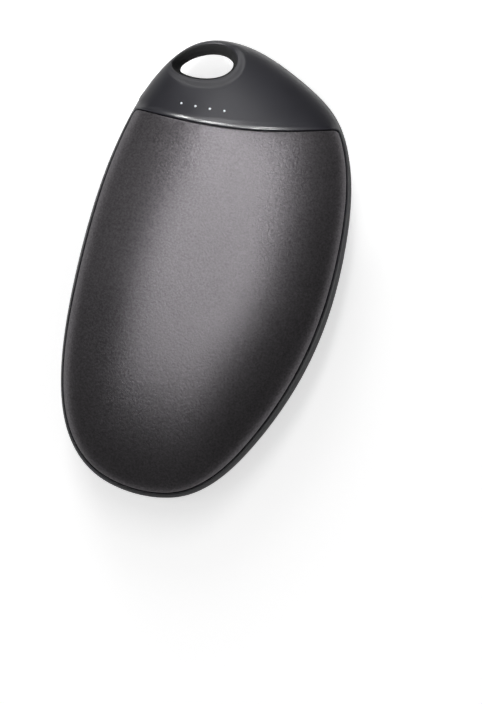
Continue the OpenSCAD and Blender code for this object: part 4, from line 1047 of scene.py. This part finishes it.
front = case("front_case_moulding", True)
rear = case("rear_case_moulding", False)
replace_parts(front, "front_case")
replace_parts(rear, "rear_case")
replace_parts(panel("front_panel_metal", 1), "front_panel")
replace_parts(panel("rear_panel_metal", -1), "rear_panel")
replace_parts(port_cover(), "port_cover")
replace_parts(cover_root(), "cover_anchor")
cover_web()
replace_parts(button(), "power_button")
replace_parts(foam_pad("front_foam_pad", "front_pad"), "front_pad")
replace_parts(foam_pad("rear_foam_pad", "rear_pad"), "rear_pad")

# The nodes that keep their CAD shape get their finish too
for part in frame["record"]["subparts"]:
    node = frame["nodes"].get(part["node"])
    if node:
        node.data.materials.clear()
        node.data.materials.append(FINISHES[part["material_slot"]])

# Floor, background and light

# The floor's own glow as the camera sees it, and the share of it that mirrors show
FLOOR_GLOW, MIRRORED_GLOW = 0.56, 0.25
# The sky's strength high up, what the horizon adds, how much is lost toward the right, and the even light on
# everything
SKY_HIGH, SKY_HORIZON, SKY_RIGHT_LOSS, EVEN_LIGHT = 0.07, 0.2, 0.5, 0.25


def rays(wire):
    """1 where the camera looks, and 1 where a reflection or a clear part does."""
    outputs = wire.make("ShaderNodeLightPath", {}, {}).socket.node.outputs
    kinds = ("Is Camera Ray", "Is Glossy Ray", "Is Transmission Ray")
    camera, glossy, through = (Wire(wire.tree, outputs[kind]) for kind in kinds)
    return camera, wire.math("MAXIMUM", glossy, through)


def set_floor():
    """A white paper disc under the body that fades into the background."""
    bm = bmesh.new()
    bmesh.ops.create_circle(bm, cap_ends=True, segments=96, radius=3)
    mesh = bpy.data.meshes.new("floor")
    bm.to_mesh(mesh)
    bm.free()
    material, wire, shader = start_material("floor_paper")
    shader.inputs["Base Color"].default_value = (0.9, 0.9, 0.9, 1)
    shader.inputs["Roughness"].default_value = 0.9
    camera, mirrored = rays(wire)
    shader.inputs["Emission Color"].default_value = (1, 1, 1, 1)
    wire.plug(shader.inputs["Emission Strength"], camera * FLOOR_GLOW + mirrored * FLOOR_GLOW * MIRRORED_GLOW)
    mesh.materials.append(material)
    disc = bpy.data.objects.new("floor", mesh)
    bpy.context.scene.collection.objects.link(disc)


def set_world():
    """White for the camera, a dim sky with a bright horizon for reflections, and even light for the rest."""
    world = bpy.data.worlds.new("studio")
    bpy.context.scene.world = world
    world.use_nodes = True
    tree = world.node_tree
    wire = Wire(tree)
    background = tree.nodes["Background"]
    camera, mirrored = rays(wire)
    way = wire.make("ShaderNodeTexCoord", {}, {}, out="Generated")
    right, height = (wire.make("ShaderNodeSeparateXYZ", {}, {0: way}, out=k) for k in (0, 2))
    sky = (1 - height.within(0.0, 0.08)) * SKY_HORIZON + SKY_HIGH
    sky = sky * (1 - right.within(0.0, 0.7) * SKY_RIGHT_LOSS)
    strength = wire.math("MAXIMUM", camera, sky * mirrored + (1 - mirrored) * EVEN_LIGHT)
    wire.plug(background.inputs["Strength"], strength)
    background.inputs["Color"].default_value = (1, 1, 1, 1)


def hang(name, light, place, aim, turn=0.0):
    """Hangs a light at a place, pointed at its aim and turned about that line."""
    lamp = bpy.data.objects.new(name, light)
    way = Vector(aim) - Vector(place)
    lamp.matrix_world = (Matrix.Translation(place) @ way.to_track_quat("-Z", "Y").to_matrix().to_4x4()
                         @ Matrix.Rotation(turn, 4, "Z"))
    bpy.context.scene.collection.objects.link(lamp)


def soft_light(name, place, aim, width, height, power, turn=0.0):
    light = bpy.data.lights.new(name, "AREA")
    light.shape, light.size, light.size_y, light.energy = "RECTANGLE", width, height, power
    hang(name, light, place, aim, turn)


def lip_light(name, tilt, power, side):
    """A narrow spot on the cap alone, tilted from the vertical toward the foot. Its light ends at the lip."""
    light = bpy.data.lights.new(name, "SPOT")
    light.spot_size, light.spot_blend, light.shadow_soft_size, light.energy = LIP_CONE, 0.15, 0.03, power
    turn = math.radians(tilt)
    x, y, z = LIP_EDGE
    aim = Vector((x, y + math.tan(LIP_CONE / 2) / math.cos(turn), z))
    hang(name, light, aim + Vector((side, -math.sin(turn), math.cos(turn))), aim)


LIP_CONE = math.radians(4.6)
LIP_EDGE = (-0.002, 0.015, 0.022)
# Tilt in degrees, power in watts and step to the side in metres
LIP_LIGHTS = (
    (22, 7, -0.45), (22, 5, 0.25), (29, 10, -0.1), (29, 4, 0.25),
    (36, 18, -0.4), (36, 5, 0.0), (50, 12, -0.1), (58, 24, 0.25),
)
set_floor()
set_world()
soft_light("key_light", (-0.085, 0.36, 1.0), (0, 0.02, 0.014), 0.1, 0.5, 1.75, math.radians(-14))
soft_light("low_light", (-0.115, -0.03, 1.04), (0, 0.02, 0.014), 0.1, 0.32, 0.64, math.radians(-14))
soft_light("left_light", (-0.9, 0.15, 0.55), (0, 0, 0.014), 0.3, 0.9, 0.18)
soft_light("cap_light", (-0.42, 0.92, 0.55), (0, 0.05, 0.02), 0.42, 0.8, 3.0)
for degrees, watts, aside in LIP_LIGHTS:
    lip_light(f"lip_light_{degrees}_{round(aside * 100)}", degrees, watts, aside)
bpy.context.scene.view_settings.view_transform = "Standard"
